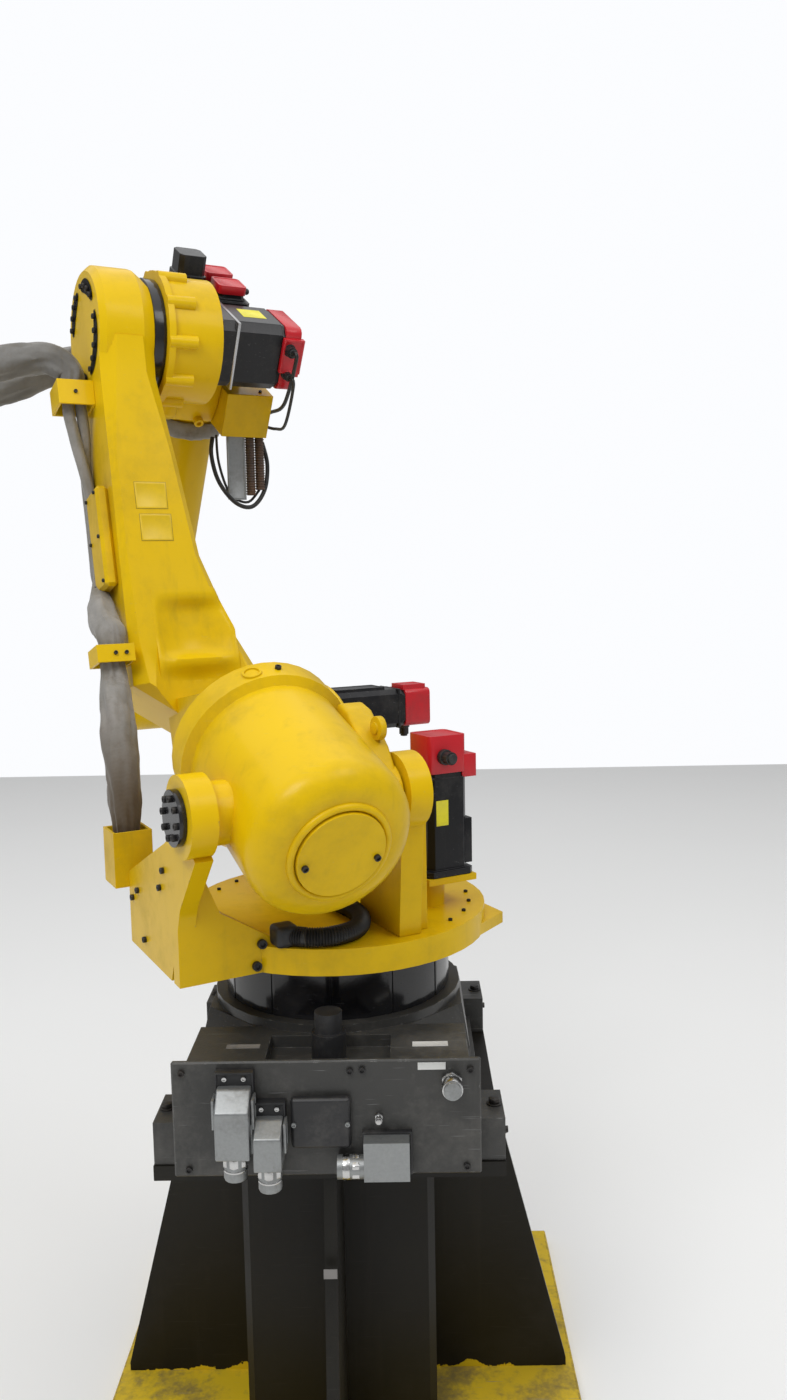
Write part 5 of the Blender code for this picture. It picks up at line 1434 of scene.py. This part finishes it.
sleeveLook = {"radius": 0.034, "tied": 0.026, "fold": 0.0052, "tiePleat": 0.0024, "sides": 48}
armX = -0.356 - 0.0003 - 0.006 - 0.0003 - 0.036
lean = Matrix.Rotation(-pose["armLean"], 3, "X")
shoulder = Vector(pose["shoulder"])
bracket = {"x": -0.4175, "y": 0.1303 + 0.0423, "top": 0.585}
lowerRing = {"y": -0.075, "z": 0.250}
upperRing = {"y": 0.015, "z": 0.885}
lowerPoints = [(bracket["x"], bracket["y"], bracket["top"] + lift) for lift in (-0.020, 0, 0.036)]
lowerPoints += [(-0.418, 0.182, 0.690), (-0.418, 0.212, 0.780), (-0.408, 0.262, 0.855)]
lowerPoints += [tuple(shoulder + lean @ Vector((armX, lowerRing["y"],
                                                lowerRing["z"] + lift))) for lift in (-0.036, 0, 0.010)]
lowerSleeve = sleeve("lowerSleeve", sleeveLook, lowerPoints, 1.3, 0.10, 0.09)
lowerSleeve.data.transform(turretFrame)
lowerSleeve.data.materials.append(materials["sleeveStained"])
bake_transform(lowerSleeve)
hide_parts("dress_sleeve_lower")

upperPoints = [(armX, lowerRing["y"], 0.290 + lift) for lift in (-0.010, 0, 0.036)]
upperPoints += [(-0.401, -0.056, 0.345), (-0.396, -0.020, 0.385), (-0.385, 0.024, 0.422),
                (-0.375, 0.056, 0.458),
                (-0.372, 0.070, 0.500)]
upperSleeve = sleeve("upperSleeve", sleeveLook, upperPoints, 4.1, 0.06, 0.05, 0.60)
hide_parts("dress_sleeve_upper")
finish(upperSleeve, "upperSleeve", "lower_arm", "sleeveFabric", armFrame)
thinLook = {"radius": 0.0135, "tied": 0.0125, "fold": 0.0016, "tiePleat": 0.0006, "sides": 24}
for number, side in enumerate((-1, 1)):
    thinPoints = [(-0.3715, 0.070 + side * 0.010, z) for z in (0.470, 0.500, 0.600, 0.690)]
    thinPoints += [(-0.378 + side * 0.006, 0.058 + side * 0.010, 0.760),
                   (-0.387 + side * 0.013, 0.034 + side * 0.004, 0.830)]
    thinPoints += [(-0.3955 + side * 0.0145, upperRing["y"],
                    upperRing["z"] + lift) for lift in (-0.010, 0.020, 0.045)]
    item = sleeve("thinSleeve", thinLook, thinPoints, 2.2 + 3 * number, 0.03, 0.03)
    finish(item, "thinSleeve_%d" % (number + 1), "lower_arm", "sleeveFabric", armFrame)

swing = Matrix.Rotation(pose["armLean"] - pose["forearmDip"], 3, "X")
elbow = Vector((0, 0, pose["armLength"]))
loopPoints = [(armX, upperRing["y"], 0.945 + lift) for lift in (-0.020, 0, 0.036)]
loopPoints += [(-0.450, 0.030, 1.020), (-0.560, 0.055, 1.005), (-0.660, 0.120, 0.990),
               (-0.680, 0.210, 0.995),
               (-0.610, 0.270, 1.015), (-0.480, 0.270, 1.055), (-0.330, 0.240, 1.110)]
loopPoints += [tuple(elbow + swing @ Vector((-0.205 + lift, 0.125, 0.195))) for lift in (-0.036, 0, 0.020)]
loopSleeve = sleeve("loopSleeve", dict(sleeveLook, fold=0.0062), loopPoints, 7.7, 0.30, 0.10)
loopSleeve.data.transform(armFrame)
loopSleeve.data.materials.append(materials["sleeveDark"])
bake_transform(loopSleeve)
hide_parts("dress_loop")
print("sleeves")

hoseLook = {"radius": 0.0185, "rib": 0.0016, "pitch": 0.0052, "sides": 20}
hoseRoute = [(-0.035, -0.050), (-0.030, -0.140), (-0.045, -0.210), (-0.085, -0.262), (-0.140, -0.275),
             (-0.190, -0.255), (-0.215, -0.225)]


def ribbed(name, points):
    route = smoothRoute(points, hoseLook["pitch"] / 4)

    def radius(share, angle, index):
        return hoseLook["radius"] + hoseLook["rib"] * math.cos(math.pi * index / 2)

    return sweep(name, route, radius, hoseLook["sides"])


turretHose = ribbed("turretHose", [(x, y, 0.4203) for x, y in hoseRoute])
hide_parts("turret_hose")
finish(turretHose, "turretHose", "turret", "hoseRubber", turretFrame)

for item in masters.values():
    bpy.data.objects.remove(item, do_unlink=True)
